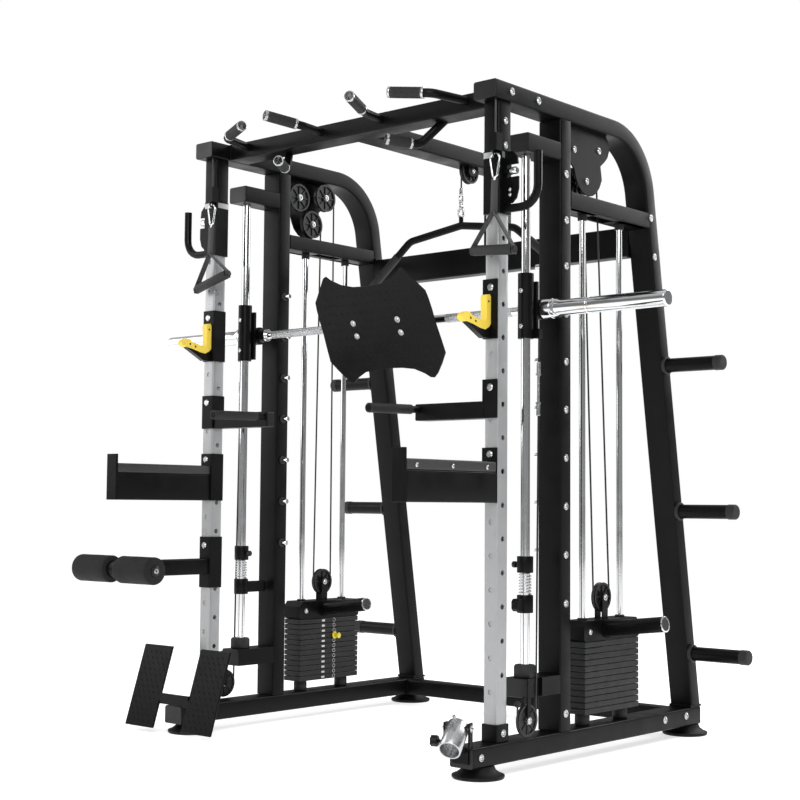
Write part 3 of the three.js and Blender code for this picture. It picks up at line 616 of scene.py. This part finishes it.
def safety_stop(side, s, x):
    body = f"safety_stop_{side}"
    block = Shape()
    for lo, hi in ((464, 518), (585, 635)):
        block.lathe([(14.6, lo), (24, lo), (25, lo + 2), (25, hi - 2), (24, hi), (14.6, hi)],
                    (x, ROD_Y, 0), Z, 44, closed=True)
    arm = (192, 286) if s < 0 else (118, 152)
    hook = [(arm[0], 470), (arm[1] - 8, 470), (arm[1], 478), (arm[1], 500), (arm[1] - 8, 508),
            (arm[0], 508)] if s < 0 else [(arm[0], 478), (arm[0] + 8, 470), (arm[1], 470),
                                          (arm[1], 508), (arm[0] + 8, 508), (arm[0], 500)]
    block.prism("x", hook, x - 12, x + 12)
    obj = block.make(f"safety_stop_{side}_block", BLACK, body, bevel=1)
    coil = []
    turns, steps = 7, 18
    for k in range(turns * steps + 1):
        a = 2 * math.pi * k / steps
        coil.append(Vector((x + 17.4 * math.cos(a), ROD_Y + 17.4 * math.sin(a),
                            520 + 63 * k / (turns * steps))))
    Shape().sweep(coil, circle(2.4, 10)).make(f"safety_stop_{side}_spring", STEEL, body)
    knob = Shape().rod((x - s * 24, ROD_Y, 609), (x - s * 34, ROD_Y, 609), 4)
    knob.lathe([(0, 0), (9, 0), (10, 2), (10, 11), (8, 13), (0, 13)], (x - s * 33, ROD_Y, 609),
               (-s, 0, 0), 32)
    knob.make(f"safety_stop_{side}_knob", PLASTIC, body, bevel=0.6)
    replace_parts(obj, body)


def carriage(side, s, x):
    keep(f"bar_carriage_{side}", BLACK)
    places = [(x + dx, 201, z) for dx in (-18, 18) for z in (1322, 1462)]
    bolts(f"carriage_{side}_bolts", places, (0, 1, 0), 7, "carriages")
    rings = Shape()
    for z in (1300, 1496):
        rings.ring(14.7, 23.5, z, z + 6, (x, ROD_Y, 0), Z, 44)
    rings.make(f"carriage_{side}_wipers", RUBBER, "carriages", bevel=0.8)
    bolts(f"carriage_{side}_set_screws", [(x, 148.3, z) for z in (1337, 1447)],
          (0, -1, 0), 5, "carriages", height=4)


def smith_bar():
    body = Shape()
    end = [(0, BAR_HALF), (21, BAR_HALF), (25, BAR_HALF - 4), (25, 831), (23.4, 830), (23.4, 824),
           (25, 823), (25, 728), (31, 715), (31, 700), (29, 699), (29, 694), (31, 693), (31, 661),
           (14, 661)]
    mirrored = [(r, -h) for r, h in end]
    body.lathe(mirrored + end[::-1], (0, BAR_Y, BAR_Z), X, 64)
    obj = body.make("smith_bar_shaft", CHROME, "bar", bevel=0.8)
    knurl = Shape()
    for lo, hi in ((-540, -270), (270, 540)):
        knurl.lathe([(14, lo), (14.25, lo + 1), (14.25, hi - 1), (14, hi)], (0, BAR_Y, BAR_Z), X,
                    64)
    knurl.make("smith_bar_knurling", KNURL, "bar")
    collars = Shape()
    for s in (-1, 1):
        collars.ring(14.2, 22, -3, 3, (s * 570, BAR_Y, BAR_Z), X, 48)
    collars.make("smith_bar_collars", CHROME, "bar", bevel=0.8)
    # Painted shade: thin dark blocks on each flange stand in for the shaded slots of its
    # castellation; no slot is cut.
    slots = Shape()
    for s in (-1, 1):
        for k in range(6):
            a = math.radians(60 * k + 30)
            c = (s * 676, BAR_Y + 30.2 * math.cos(a), BAR_Z + 30.2 * math.sin(a))
            spin = Matrix.Rotation(a, 3, "X")
            slots.box((-15, 3), (-1.2, 1.2), (-3, 3), spin, c)
    slots.make("smith_bar_flange_slot_shade", HOLE_SHADE, "bar")
    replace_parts(obj, "smith_bar")


def plate_spin():
    return Matrix.Rotation(math.radians(90 + PLATE_TILT), 3, "X")


def tread(shape, u, v, height, spin, origin):
    """A short raised dash on a tread plate."""
    lean = Matrix.Rotation(math.radians(-38), 3, "Z")
    ends = [lean @ Vector((a, b, 0)) for a, b in rounded_rect(17, 5, 2.2, 3)]
    caps = [lean @ Vector((a * 0.8, b * 0.5, 0)) for a, b in rounded_rect(17, 5, 2.2, 3)]
    n = len(ends)
    low = [(p.x + u, p.y + v, height) for p in ends]
    high = [(p.x + u, p.y + v, height + 1.8) for p in caps]
    faces = [[k, (k + 1) % n, n + (k + 1) % n, n + k] for k in range(n)]
    faces.append(list(range(n, 2 * n)))
    shape.add(low + high, faces, spin, origin)


def press_plate():
    keep("press_plate", BLACK, 1.0)
    spin, origin = plate_spin(), (0, BAR_Y, BAR_Z)
    treads = Shape()
    for row in range(11):
        v = -150 + 30 * row
        for col in range(18):
            u = -238 + 28 * col + (14 if row % 2 else 0)
            top = 140 + 0.0016 * u * u if abs(u) < 170 else 260 - 0.62 * abs(u)
            low = -138 - 0.0014 * u * u if abs(u) < 180 else -330 + 0.9 * abs(u)
            if abs(u) > 240 or v > top - 10 or v < low + 10:
                continue
            tread(treads, u, v, 42.4, spin, origin)
    treads.make("press_plate_treads", BLACK, "bar")
    heads = [(spin @ Vector((u, v, 42.5))) + Vector(origin)
             for u in (-100, 98) for v in (25, -21)]
    bolts("press_plate_bolts", heads, spin @ Vector((0, 0, 1)), 8, "bar")
    ubolts = Shape()
    for u in (-100, 98):
        loop = []
        for k in range(13):
            a = math.pi * k / 12
            loop.append(spin @ Vector((u, 25 * math.cos(a), -25 * math.sin(a))))
        ubolts.sweep([p + Vector(origin) for p in loop], circle(5, 16), up=X)
    ubolts.make("press_plate_u_bolts", STEEL, "bar")


# ---------------------------------------------------------------- stacks and cables

def stack(side, s, x):
    plates = Shape()
    marks, holes, pads = Shape(), Shape(), Shape()
    for k in range(STACK_COUNT):
        z = STACK_Z0 + STACK_PITCH * k
        plates.box((x - STACK_HALF, x + STACK_HALF), STACK_Y, (z + 0.8, z + STACK_PITCH - 0.8))
        marks.box(sorted((x - s * 40.8, x - s * 41.4)), (549, 565), (z + 6, z + 13))
        # Painted shade: a thin dark disc on the side of each plate stands in for the shade inside
        # its selector hole; no hole is cut.
        holes.rod((x - s * 40.6, SELECTOR_Y, z + 9.5), (x - s * 41.3, SELECTOR_Y, z + 9.5),
                  5.5, 24, 0.1)
        marks.ring(5.6, 7, 0, 0.5, (x - s * 40.9, SELECTOR_Y, z + 9.5), (-s, 0, 0), 28)
    obj = plates.make(f"stack_plates_{side}", IRON, bevel=2.2, segments=3)
    marks.make(f"stack_labels_{side}", LABEL, bevel=0.3)
    holes.make(f"stack_hole_shade_{side}", HOLE_SHADE)
    rods = Shape()
    for y in GUIDE_YS:
        rods.rod((x, y, 96.4), (x, y, 1730.6), 10, 32)
        pads.lathe([(10.2, 96.4), (22, 96.4), (24, 99), (24, 126), (21, 133), (10.2, 133)],
                   (x, y, 0), Z, 36, closed=True)
        pads.ring(10.2, 15, 1712, 1730.6, (x, y, 0), Z, 32)
    rods.make(f"guide_rods_{side}", CHROME)
    pads.make(f"guide_rod_pads_{side}", RUBBER, bevel=1)
    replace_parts(obj, f"weight_stack_{side}")


def stack_top(side, s, x):
    body = f"stack_top_{side}"
    peg_end, peg_along = (x + 256, 560, 423), (227, 0, 27)
    keep(body, BLACK, 1.5)
    rim = Shape().lathe([(20, -3), (24.8, -3), (24.8, 0.4), (23.5, 1), (20, 1)],
                        peg_end, peg_along, 44, closed=True)
    rim.make(f"{body}_peg_rim", CHROME, body, bevel=0.4)
    plug = Shape().ring(0, 20, -2, 0.4, peg_end, peg_along)
    plug.make(f"{body}_peg_plug", BLACK_LINER, body, bevel=0.4)
    bushes = Shape()
    for y in GUIDE_YS:
        bushes.lathe([(10.8, 426), (16, 426), (16, 431), (14, 433), (10.8, 433)], (x, y, 0), Z,
                     32, closed=True)
    bushes.make(f"{body}_bushes", PLASTIC, body, bevel=0.5)
    bolts(f"{body}_axle_head", [(x + 16, *STACK_PULLEY)], X, 8, body)
    bolts(f"{body}_bolts", [(x + STACK_HALF, y, 392) for y in (464, 716)], X, 7, body)


def selector_pin(side, s, x):
    pin = f"selector_pin_{side}"
    zp = STACK_Z0 + STACK_PITCH * 8.5
    head = Shape().lathe([(0, 0), (12, 0), (13, 1.5), (13, 5), (9, 8), (9, 21), (10.5, 25),
                          (8, 27.5), (0, 28)], (x - s * 42, SELECTOR_Y, zp), (-s, 0, 0), 36)
    head_obj = head.make(f"{pin}_head", YELLOW, pin, bevel=0.5)
    shaft = Shape().rod((x + s * 20, SELECTOR_Y, zp), (x - s * 44, SELECTOR_Y, zp), 4.4, 20)
    shaft.make(f"{pin}_shaft", CHROME, pin)
    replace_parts(head_obj, pin)


def pulley(node, centre, r, half):
    """Nylon wheel with a grooved rim, ribs and a bearing."""
    x, y, z = centre
    wheel = Shape().lathe([(r, -half), (r - 1.2, -half * 0.8), (r - 4.6, -2.8), (r - 5.4, 0),
                           (r - 4.6, 2.8), (r - 1.2, half * 0.8), (r, half), (r - 7.5, half),
                           (r - 8.5, half * 0.35), (r - 8.5, -half * 0.35), (r - 7.5, -half)],
                          centre, X, 56, closed=True)
    hub = r * 0.3
    wheel.ring(6.6, hub, -half, half, centre, X)
    web = half * 0.3
    wheel.ring(hub - 1, r - 8, -web, web, centre, X)
    for k in range(8):
        spin = Matrix.Rotation(2 * math.pi * k / 8, 3, "X")
        wheel.box((-half * 0.8, half * 0.8), (hub - 1, r - 8), (-2, 2), spin, centre)
    obj = wheel.make(f"{node}_wheel", PLASTIC, node, bevel=0.5)
    bearing = Shape().ring(6.4, hub * 0.75, -half - 0.3, half + 0.3, centre, X, 36)
    bearing.make(f"{node}_bearing", STEEL, node, bevel=0.3)
    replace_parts(obj, node)


def pulleys():
    for side, s in SIDES:
        for name, (y, z) in TOP_PULLEYS.items():
            pulley(f"top_pulley_{name}_{side}", (s * 600, y, z), TOP_PULLEY_R, 8.5)
        pulley(f"low_pulley_{side}", (s * LOW_PULLEY_X, *LOW_PULLEY), LOW_PULLEY_R, 5.4)
        pulley(f"stack_pulley_{side}", (s * CX, *STACK_PULLEY), STACK_PULLEY_R, 7.8)
    pulley("lat_pulley", (0, 679, 1995), 46, 8.8)


def arc(x, y, z, r, start, end, steps=24):
    points = []
    for k in range(steps + 1):
        a = math.radians(start + (end - start) * k / steps)
        points.append(Vector((x, y + r * math.cos(a), z + r * math.sin(a))))
    return points


def cables(side, s, x):
    low, high = STACK_PULLEY_R - GROOVE + CABLE_R, TOP_PULLEY_R - GROOVE + CABLE_R
    start_y, start_z = TOP_PULLEYS["low"]
    path = [Vector((s * 600, start_y + high, start_z))]
    path += arc(x, *STACK_PULLEY, low, 180, 360)
    path += arc(s * 600, *TOP_PULLEYS["rear"], high, 0, 180)
    cable = Shape().sweep(path, circle(CABLE_R, 14)).make(f"stack_cable_{side}_cover", CABLE, None)
    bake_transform(cable)
    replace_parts(cable, f"stack_cable_{side}")
    lx, wrap = s * LOW_PULLEY_X, LOW_PULLEY_R - GROOVE + CABLE_R
    ends = [Vector((lx, 190, 1300.8)), Vector((lx, 187.5, 1062))]
    tail = Vector((lx, LOW_PULLEY[0] - wrap, 201))
    path = ends + arc(lx, *LOW_PULLEY, wrap, 0, -180) + [tail]
    cable = Shape().sweep(path, circle(CABLE_R, 14)).make(f"low_cable_{side}_cover", CABLE, None)
    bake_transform(cable)
    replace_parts(cable, f"low_cable_{side}")
    adjuster = Shape().rod((lx, 186.2, 1062), (lx, 186.6, 1100), 6)
    adjuster.rod((lx, 186.6, 1100), (lx, 187.6, 1190), 4)
    adjuster.rod((lx, 187.6, 1190), (lx, 188.2, 1227), 6)
    adjuster.ring(4, 9, 1186, 1192, (lx, 187.4, 0), Z, 6)
    adjuster.ring(4, 9, 1098, 1104, (lx, 186.8, 0), Z, 6)
    adjuster.make(f"low_cable_{side}_adjuster", STEEL, "carriages", bevel=0.3)
    ball = Shape().lathe([(0, -10), (6, -9), (10, -3), (10, 3), (6, 9), (0, 10)], tail, Z, 32)
    ball.make(f"low_cable_{side}_stop", RUBBER, smooth=60)
    hx, trolley = x + HOOK_DX, f"trolley_{side}"
    run = [Vector((hx, -21, 1851 + 7.78 * k)) for k in range(21)]
    front = Shape().sweep(run, circle(CABLE_R, 14))
    front = front.make(f"front_cable_{side}_cover", CABLE, None)
    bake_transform(front)
    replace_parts(front, f"front_cable_{side}")


def link(shape, centre, w, h, wire, facing="y"):
    """One oval of a chain or spring hook in a plane facing y or x."""
    path = []
    for k in range(32):
        a = 2 * math.pi * k / 32
        across = (w / 2 - wire) * math.cos(a)
        up = (h / 2 - w / 2) * (1 if math.sin(a) >= 0 else -1) + (w / 2 - wire) * math.sin(a)
        offset = (across, 0, up) if facing == "y" else (0, across, up)
        path.append(Vector(centre) + Vector(offset))
    shape.sweep(path, circle(wire, 12), up=Y if facing == "y" else X, closed=True)


def lat_station():
    y = 635
    points = [Vector((-430, y, 1603)), Vector((-240, y, 1757)), Vector((0, y, 1790)),
              Vector((240, y, 1757)), Vector((430, y, 1603))]
    bar = Shape().sweep(rounded_path(points, 60), circle(13.4, 28))
    bar.rod((0, y, 1795), (0, y, 1822), 8)
    obj = bar.make("lat_bar_tube", BLACK, "lat_bar")
    for side, s in SIDES:
        end = Vector((s * 430, y, 1603))
        along = (end - Vector((s * 240, y, 1757))).normalized()
        start = end - along * 168
        Shape().lathe([(13.5, 0), (14.6, 1), (15.4, 4), (15.4, 160), (14.2, 168), (0, 168.5)],
                      start, along, 36).make(f"lat_bar_grip_{side}", RUBBER, "lat_bar", bevel=0.5)
    metal = Shape()
    link(metal, (0, y, 1838), 30, 44, 4.5)
    link(metal, (0, y, 1866), 20, 38, 3.2, "x")
    link(metal, (0, y, 1890), 20, 36, 3.2)
    metal.rod((0, y, 1903), (0, y, 1926), 7)
    metal.make("lat_bar_links", CHROME, "lat_bar")
    Shape().rod((0, y, 1920), (0, y, 1990), 3, 16).make("lat_cable", CABLE, "lat_bar")
    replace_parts(obj, "lat_bar")


def trolley(side, s, x):
    body = f"trolley_{side}"
    keep(body, BLACK, 1.0)
    band = Shape()
    slot_tube(band, "z", (x, 25), (63, 63), 1832, 1850, 6)
    hollow = slot_tube(Shape(), "z", (x, 25), (51, 51), 1800, 1900, 3)
    ring = band.make(f"{body}_band", SILVER, None)
    boolean_cut(ring, hollow.make("cutter", SILVER, None))
    finish_edges(ring, 0)
    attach(ring, body)
    bolts(f"{body}_bolts", [(s * 679, 21, z) for z in (1717, 1733)], (0, -1, 0), 5, body, height=4)
    pin = f"pop_pin_{side}"
    zp, x0 = 1789.6, s * (CX + 45.8)
    knob = Shape().lathe([(0, 0), (8, 0), (9, 2), (11.6, 8), (12, 12), (12, 25), (9.5, 29.5),
                          (0, 30)], (x0, 25, zp), (s, 0, 0), 36)
    obj = knob.make(f"{pin}_knob", CHROME, pin, bevel=0.4)
    Shape().rod((s * (CX + 26), 25, zp), (s * (CX + 47), 25, zp), 6, 24).make(f"{pin}_shaft",
                                                                            CHROME, pin)
    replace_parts(obj, pin)


def spring_hook(shape, x, y, top, wire):
    """A pear-shaped hook, wide at its eye end and narrow at the strap."""
    wide, narrow, drop = 17.5, 9, 46
    path = []
    for k in range(17):
        a = math.pi * k / 16
        path.append(Vector((x + wide * math.cos(a), y, top - wide + wide * math.sin(a))))
    for k in range(13):
        a = math.pi + math.pi * k / 12
        path.append(Vector((x + narrow * math.cos(a), y, top - wide - drop + narrow * math.sin(a))))
    shape.sweep(path, circle(wire, 14), up=Y, closed=True)


def d_handle(side, s, x):
    grips = {"right": ((573, 1552), (742, 1540)), "left": ((-671, 1539), (-494, 1585))}
    x += HOOK_DX
    body = f"d_handle_{side}"
    hook = Shape()
    spring_hook(hook, x, HOOK_Y, 1838.7, 3.2)
    hook.rod((x, HOOK_Y, 1768), (x, HOOK_Y, 1757), 4.5, 20)
    hook_obj = hook.make(f"{body}_hook", CHROME, body)
    (xa, za), (xb, zb) = grips[side]
    a, b = Vector((xa, -32, za)), Vector((xb, -32, zb))
    along = (b - a).normalized()
    length = (b - a).length
    strap = Shape()
    strap.sweep([Vector((x, HOOK_Y - 1, 1763)), Vector((x, -28, 1655))],
                rounded_rect(25, 4, 1.5, 2), up=Y)
    for end, sign in ((a, 1), (b, -1)):
        foot = end + along * sign * 7
        run = [Vector((x, -28, 1664)), foot + Vector((0, 0, 6)), foot - Vector((0, 0, 14))]
        strap.sweep(run, rounded_rect(2.8, 22, 1, 2), up=Y)
    strap.make(f"{body}_strap", WEB, body)
    handle = Shape().lathe([(0, 12), (14.8, 12), (16, 14), (15.2, length / 2), (16, length - 14),
                            (14.8, length - 12), (0, length - 12)], a, along, 36)
    handle.make(f"{body}_grip", RUBBER, body, bevel=0.8)
    rings = Shape()
    for h in (2, length - 12):
        rings.ring(0, 11, h, h + 10, a, along, 30)
    rings.make(f"{body}_grip_ends", PLASTIC, body, bevel=1)
    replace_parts(hook_obj, body)


# ---------------------------------------------------------------- attachments

def bracket(name, s, z0, z1, pin_z, body="frame"):
    """Front plate, side clasp and locating pin of an attachment."""
    x = s * CX
    inner = s * (CX - 25.4)
    plate = Shape().box((x - 25, x + 25), (-6, -0.4), (z0, z1))
    plate.box(sorted((inner, inner - s * 5)), (-6, 50), (z0, z1))
    obj = plate.make(f"{name}_bracket", BLACK, body, bevel=1.4)
    pin = Shape().rod((x, -9, pin_z), (x, 40, pin_z), 7, 24)
    pin.lathe([(0, 0), (11, 0), (11, 2), (8, 5), (0, 5)], (x, -6, pin_z), (0, -1, 0), 28)
    pin.make(f"{name}_pin", STEEL, body)
    return obj


def j_hook(side, s, x):
    liner = [(-6.2, 1329), (-6.2, 1411), (-11, 1418), (-25, 1416), (-30, 1409), (-29, 1375),
             (-28, 1345), (-33, 1336), (-40, 1333), (-64, 1340), (-92, 1345), (-104, 1355),
             (-119, 1356), (-134, 1351), (-143, 1340), (-138, 1331), (-122, 1327), (-89, 1321),
             (-58, 1313), (-33, 1310), (-15, 1319)]
    gusset = [(-5, 1287), (-5, 1330), (-15, 1321), (-33, 1312), (-58, 1315), (-89, 1323),
              (-121, 1327), (-39, 1285)]
    obj = bracket(f"j_hook_{side}", s, 1285, 1465, 1439.6)
    across = sorted((s * (CX - 20), s * (CX + 3)))
    Shape().prism("x", liner, *across).make(f"j_hook_{side}_liner", LINER, bevel=1.6, segments=3)
    across = sorted((s * (CX - 18.5), s * (CX + 1.5)))
    Shape().prism("x", gusset, *across).make(f"j_hook_{side}_gusset", BLACK, bevel=1)
    # Painted shade: dark discs on both liner faces stand in for the shaded screw recesses; no
    # recess is cut.
    screws = Shape()
    for y, z in ((-18, 1396), (-104, 1338), (-80, 1331)):
        for face in (CX - 20, CX + 3):
            out = 0.6 if face > CX else -0.6
            screws.rod((s * face, y, z), (s * (face + out), y, z), 3.6, 20, 0.2)
    screws.make(f"j_hook_{side}_screws", HOLE_SHADE)
    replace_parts(obj, f"j_hook_{side}")


def spotter_arm(side, s, x):
    bracket(f"spotter_arm_{side}", s, 796, 960, 939.6)
    arm = slot_tube(Shape(), "y", (x, 841.5), (49, 91), -411, -4, 5)
    arm.box((x - 24.5, x + 24.5), (-419.5, -411), (796, 948))
    obj = arm.make(f"spotter_arm_{side}_tube", BLACK, bevel=1.6)
    pad = slot_tube(Shape(), "y", (x, 902), (49, 31), -410.5, -7, 5)
    pad.make(f"spotter_arm_{side}_liner", BLACK_LINER, bevel=1.5)
    bolts(f"spotter_arm_{side}_screws", [(x + s * 24.5, y, 900) for y in (-370, -210, -50)],
          (s, 0, 0), 5, height=4)
    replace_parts(obj, f"spotter_arm_{side}")


def dip_handle(side, s, x):
    bracket(f"dip_handle_{side}", s, 1048, 1164, 1139.6)
    inner = CX - 28
    outline = [(s * a, b) for a, b in ((inner, 0), (inner, 50), (345, 50), (329, 0))]
    obj = Shape().prism("z", outline, 1048, 1100).make(f"dip_handle_{side}_beam", BLACK,
                                                       bevel=4, segments=3)
    Shape().rod((s * 346, 20, 1083), (s * 345, -233, 1077), 11, 32).make(
        f"dip_handle_{side}_rod", BLACK)
    along = Vector((-s, -215, -5)).normalized()
    profile = [(11.2, 0), (14, 0), (15, 2)]
    for k in range(46):
        h = 6 + 4 * k
        profile += [(15, h), (15, h + 2.4), (14.3, h + 2.8), (14.3, h + 3.6)]
    profile += [(15, 192), (11.2, 193)]
    Shape().lathe(profile, (s * 345.6, -38, 1081.6), along, 36, closed=True).make(
        f"dip_handle_{side}_grip", RUBBER)
    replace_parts(obj, f"dip_handle_{side}")


def leg_roller():
    x, y, z = ROLLER
    bracket("leg_roller", -1, 493, 670, 639.6)
    arm = slot_tube(Shape(), "y", (x, z), (48, 54), -374, -4, 5)
    arm.ring(12.6, 29, -24, 24, ROLLER, X, 48)
    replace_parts(arm.make("leg_roller_arm_tube", BLACK, bevel=1.2), "leg_roller_arm")
    rolls = Shape()
    for s in (-1, 1):
        rolls.lathe([(12.2, 25.4), (40, 25.4), (43.6, 27), (45, 31), (44.7, 60), (45, 110),
                     (44.7, 150), (45, 184), (44, 189), (40, 191.6), (18, 192), (12.2, 192)],
                    ROLLER, (s, 0, 0), 64, closed=True)
    roll = rolls.make("foam_roller_foam", FOAM, "foam_roller", smooth=60)
    core = Shape().rod((x - 197, y, z), (x + 197, y, z), 12, 32)
    caps = Shape()
    for s in (-1, 1):
        caps.lathe([(0, 191.5), (16, 191.5), (17, 193), (17, 195.5), (15, 197), (0, 197)],
                   ROLLER, (s, 0, 0), 36)
    caps.make("foam_roller_caps", PLASTIC, "foam_roller", bevel=0.4)
    core.make("foam_roller_core", CHROME, "foam_roller", bevel=0.4)
    bolts("foam_roller_bolts", [(x + 196, y, z)], X, 7, "foam_roller", height=2)
    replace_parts(roll, "foam_roller")


def footplates():
    lean = [(-164, 17), (-156, 17), (-71, 289), (-79, 289)]
    plates = Shape()
    for lo, hi in ((-CX - 220, -CX - 73), (-CX + 73, -CX + 220)):
        plates.prism("x", lean, lo, hi)
    obj = plates.make("row_footplate_plates", BLACK, bevel=2)
    along = Vector((0, 85, 272)).normalized()
    out = Vector((0, -272, 85)).normalized()
    treads = Shape()
    face = Matrix((X, along, out)).transposed()
    for lo in (-CX - 220, -CX + 73):
        for row in range(13):
            for col in range(5):
                u = 16 + 26 * col + (13 if row % 2 else 0)
                if u < 140:
                    tread(treads, u, 20 + 20 * row, -0.2, face, (lo, -164, 17))
    treads.make("row_footplate_treads", BLACK)
    Shape().box((-CX - 74, -CX + 74), (-134, -124), (98, 134)).make("row_footplate_cross_bar",
                                                                      BLACK, bevel=1.5)
    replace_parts(obj, "row_footplate")


def landmine():
    keep("landmine_yoke", BLACK, 1.0)
    yaw = Matrix.Rotation(math.radians(20), 3, "Z")
    posed = yaw @ Matrix.Rotation(math.radians(36), 3, "X")
    origin = Vector((CX, LANDMINE_Y, 152))
    tube = Shape().lathe([(28, -90), (32, -90), (33, -88.5), (33, 6.5), (32, 8), (28, 8)],
                         origin, posed @ Y, 56, closed=True)
    obj = tube.make("landmine_tube_sleeve", STEEL, "landmine_tube", bevel=0.6)
    pins = Shape()
    for s in (-1, 1):
        start, end = (origin + posed @ Vector((s * a, 0, 0)) for a in (31, 40))
        pins.rod(start, end, 6)
    pins.rod(origin + posed @ Vector((0, -6, 31)), origin + posed @ Vector((0, -6, 54)), 5)
    pins.make("landmine_tube_pins", STEEL, "landmine_tube")
    for s in (-1, 1):
        bolts(f"landmine_yoke_bolt_{'left' if s < 0 else 'right'}",
              [origin + yaw @ Vector((s * 40, 0, 0))], yaw @ Vector((s, 0, 0)), 8, "landmine_yoke")
    base = Vector((CX, LANDMINE_Y, 0))
    knob = []
    for k in range(60):
        a = 2 * math.pi * k / 60
        r = 15 + 1.6 * math.cos(6 * a)
        knob.append((r * math.cos(a), r * math.sin(a)))
    spin = yaw @ Matrix.Rotation(math.radians(-90), 3, "Y")
    Shape().prism("z", knob, 0, 20, spin, base + yaw @ Vector((-61, 0, 112))).make(
        "landmine_knob", PLASTIC, "landmine_yoke", bevel=1.5)
    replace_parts(obj, "landmine_tube")


# ---------------------------------------------------------------- camera, light and floor

def studio_world():
    """White behind the object, and a dimmer room with bright bands for it to reflect."""
    world = bpy.data.worlds.new("studio")
    world.use_nodes = True
    nodes, links = world.node_tree.nodes, world.node_tree.links
    room = nodes["Background"]
    place = nodes.new("ShaderNodeTexCoord")
    split = nodes.new("ShaderNodeSeparateXYZ")
    links.new(place.outputs["Generated"], split.inputs["Vector"])
    ramp = nodes.new("ShaderNodeValToRGB")
    stops = ((0.0, 0.5), (0.4, 0.3), (0.46, 0.12), (0.5, 0.3), (0.62, 0.14), (0.8, 0.5),
             (1.0, 0.75))
    while len(ramp.color_ramp.elements) < len(stops):
        ramp.color_ramp.elements.new(0.5)
    for element, (position, value) in zip(ramp.color_ramp.elements, stops):
        element.position = position
        element.color = (value, value, value, 1)
    level = nodes.new("ShaderNodeMapRange")
    level.inputs["From Min"].default_value = -1
    links.new(split.outputs["Z"], level.inputs["Value"])
    links.new(level.outputs["Result"], ramp.inputs["Fac"])
    links.new(ramp.outputs["Color"], room.inputs["Color"])
    room.inputs["Strength"].default_value = 1.0
    plain = nodes.new("ShaderNodeBackground")
    plain.inputs["Color"].default_value = (1, 1, 1, 1)
    rays = nodes.new("ShaderNodeLightPath")
    pick = nodes.new("ShaderNodeMixShader")
    links.new(rays.outputs["Is Camera Ray"], pick.inputs["Fac"])
    links.new(room.outputs["Background"], pick.inputs[1])
    links.new(plain.outputs["Background"], pick.inputs[2])
    links.new(pick.outputs["Shader"], nodes["World Output"].inputs["Surface"])
    return world


def studio():
    scene = bpy.context.scene
    camera = bpy.data.cameras.new("camera")
    camera.sensor_width = 36
    camera.lens = 68.25
    camera.clip_end = 50
    eye = bpy.data.objects.new("camera", camera)
    yaw, pitch, roll = (math.radians(a) for a in (41.03, 3.96, 0.48))
    turn = (Matrix.Rotation(yaw, 4, "Z") @ Matrix.Rotation(math.pi / 2 + pitch, 4, "X")
            @ Matrix.Rotation(roll, 4, "Z"))
    eye.matrix_world = Matrix.Translation(at(3383.2, -3579.8, 795.2)) @ turn
    camera.shift_y = -0.00325
    scene.collection.objects.link(eye)
    scene.camera = eye
    scene.view_settings.view_transform = "Standard"
    scene.world = studio_world()
    for name, place, size, power in (("key", (2600, -3200, 3600), 2.6, 120),
                                     ("fill", (-3600, -1800, 2600), 3.0, 60),
                                     ("rim", (1200, 4200, 3200), 3.0, 110)):
        data = bpy.data.lights.new(name, "AREA")
        data.size = size
        data.energy = power
        lamp = bpy.data.objects.new(name, data)
        lamp.location = at(*place)
        aim = at(0, 400, 1000) - lamp.location
        lamp.rotation_euler = aim.to_track_quat("-Z", "Y").to_euler()
        scene.collection.objects.link(lamp)
    floor = bpy.data.meshes.new("floor")
    reach = 14
    floor.from_pydata([(-reach, -reach, -0.0005), (reach, -reach, -0.0005),
                       (reach, reach, -0.0005), (-reach, reach, -0.0005)], [], [(0, 1, 2, 3)])
    plane = bpy.data.objects.new("floor", floor)
    paper = material("floor_paper", (0.86, 0.86, 0.86), 0.8, mottle=0.01, mottle_scale=2, shine=0)
    paper.node_tree.nodes["Principled BSDF"].inputs["Emission Color"].default_value = (1, 1, 1, 1)
    paper.node_tree.nodes["Principled BSDF"].inputs["Emission Strength"].default_value = 0.62
    floor.materials.append(paper)
    scene.collection.objects.link(plane)


def both_sides(*builders):
    """Runs the builders for the left side and then for the right."""
    for side, s in SIDES:
        for build in builders:
            build(side, s, s * CX)


studio()
both_sides(floor_beam)
landmine_pivot_pin()
both_sides(upright)
both_sides(post_and_links)
both_sides(arch)
top_frame()
both_sides(smith_rod)
both_sides(safety_stop)
both_sides(carriage)
smith_bar()
press_plate()
both_sides(stack, stack_top, selector_pin)
pulleys()
both_sides(cables)
lat_station()
both_sides(trolley)
both_sides(d_handle)
both_sides(j_hook)
both_sides(spotter_arm)
both_sides(dip_handle)
leg_roller()
footplates()
landmine()
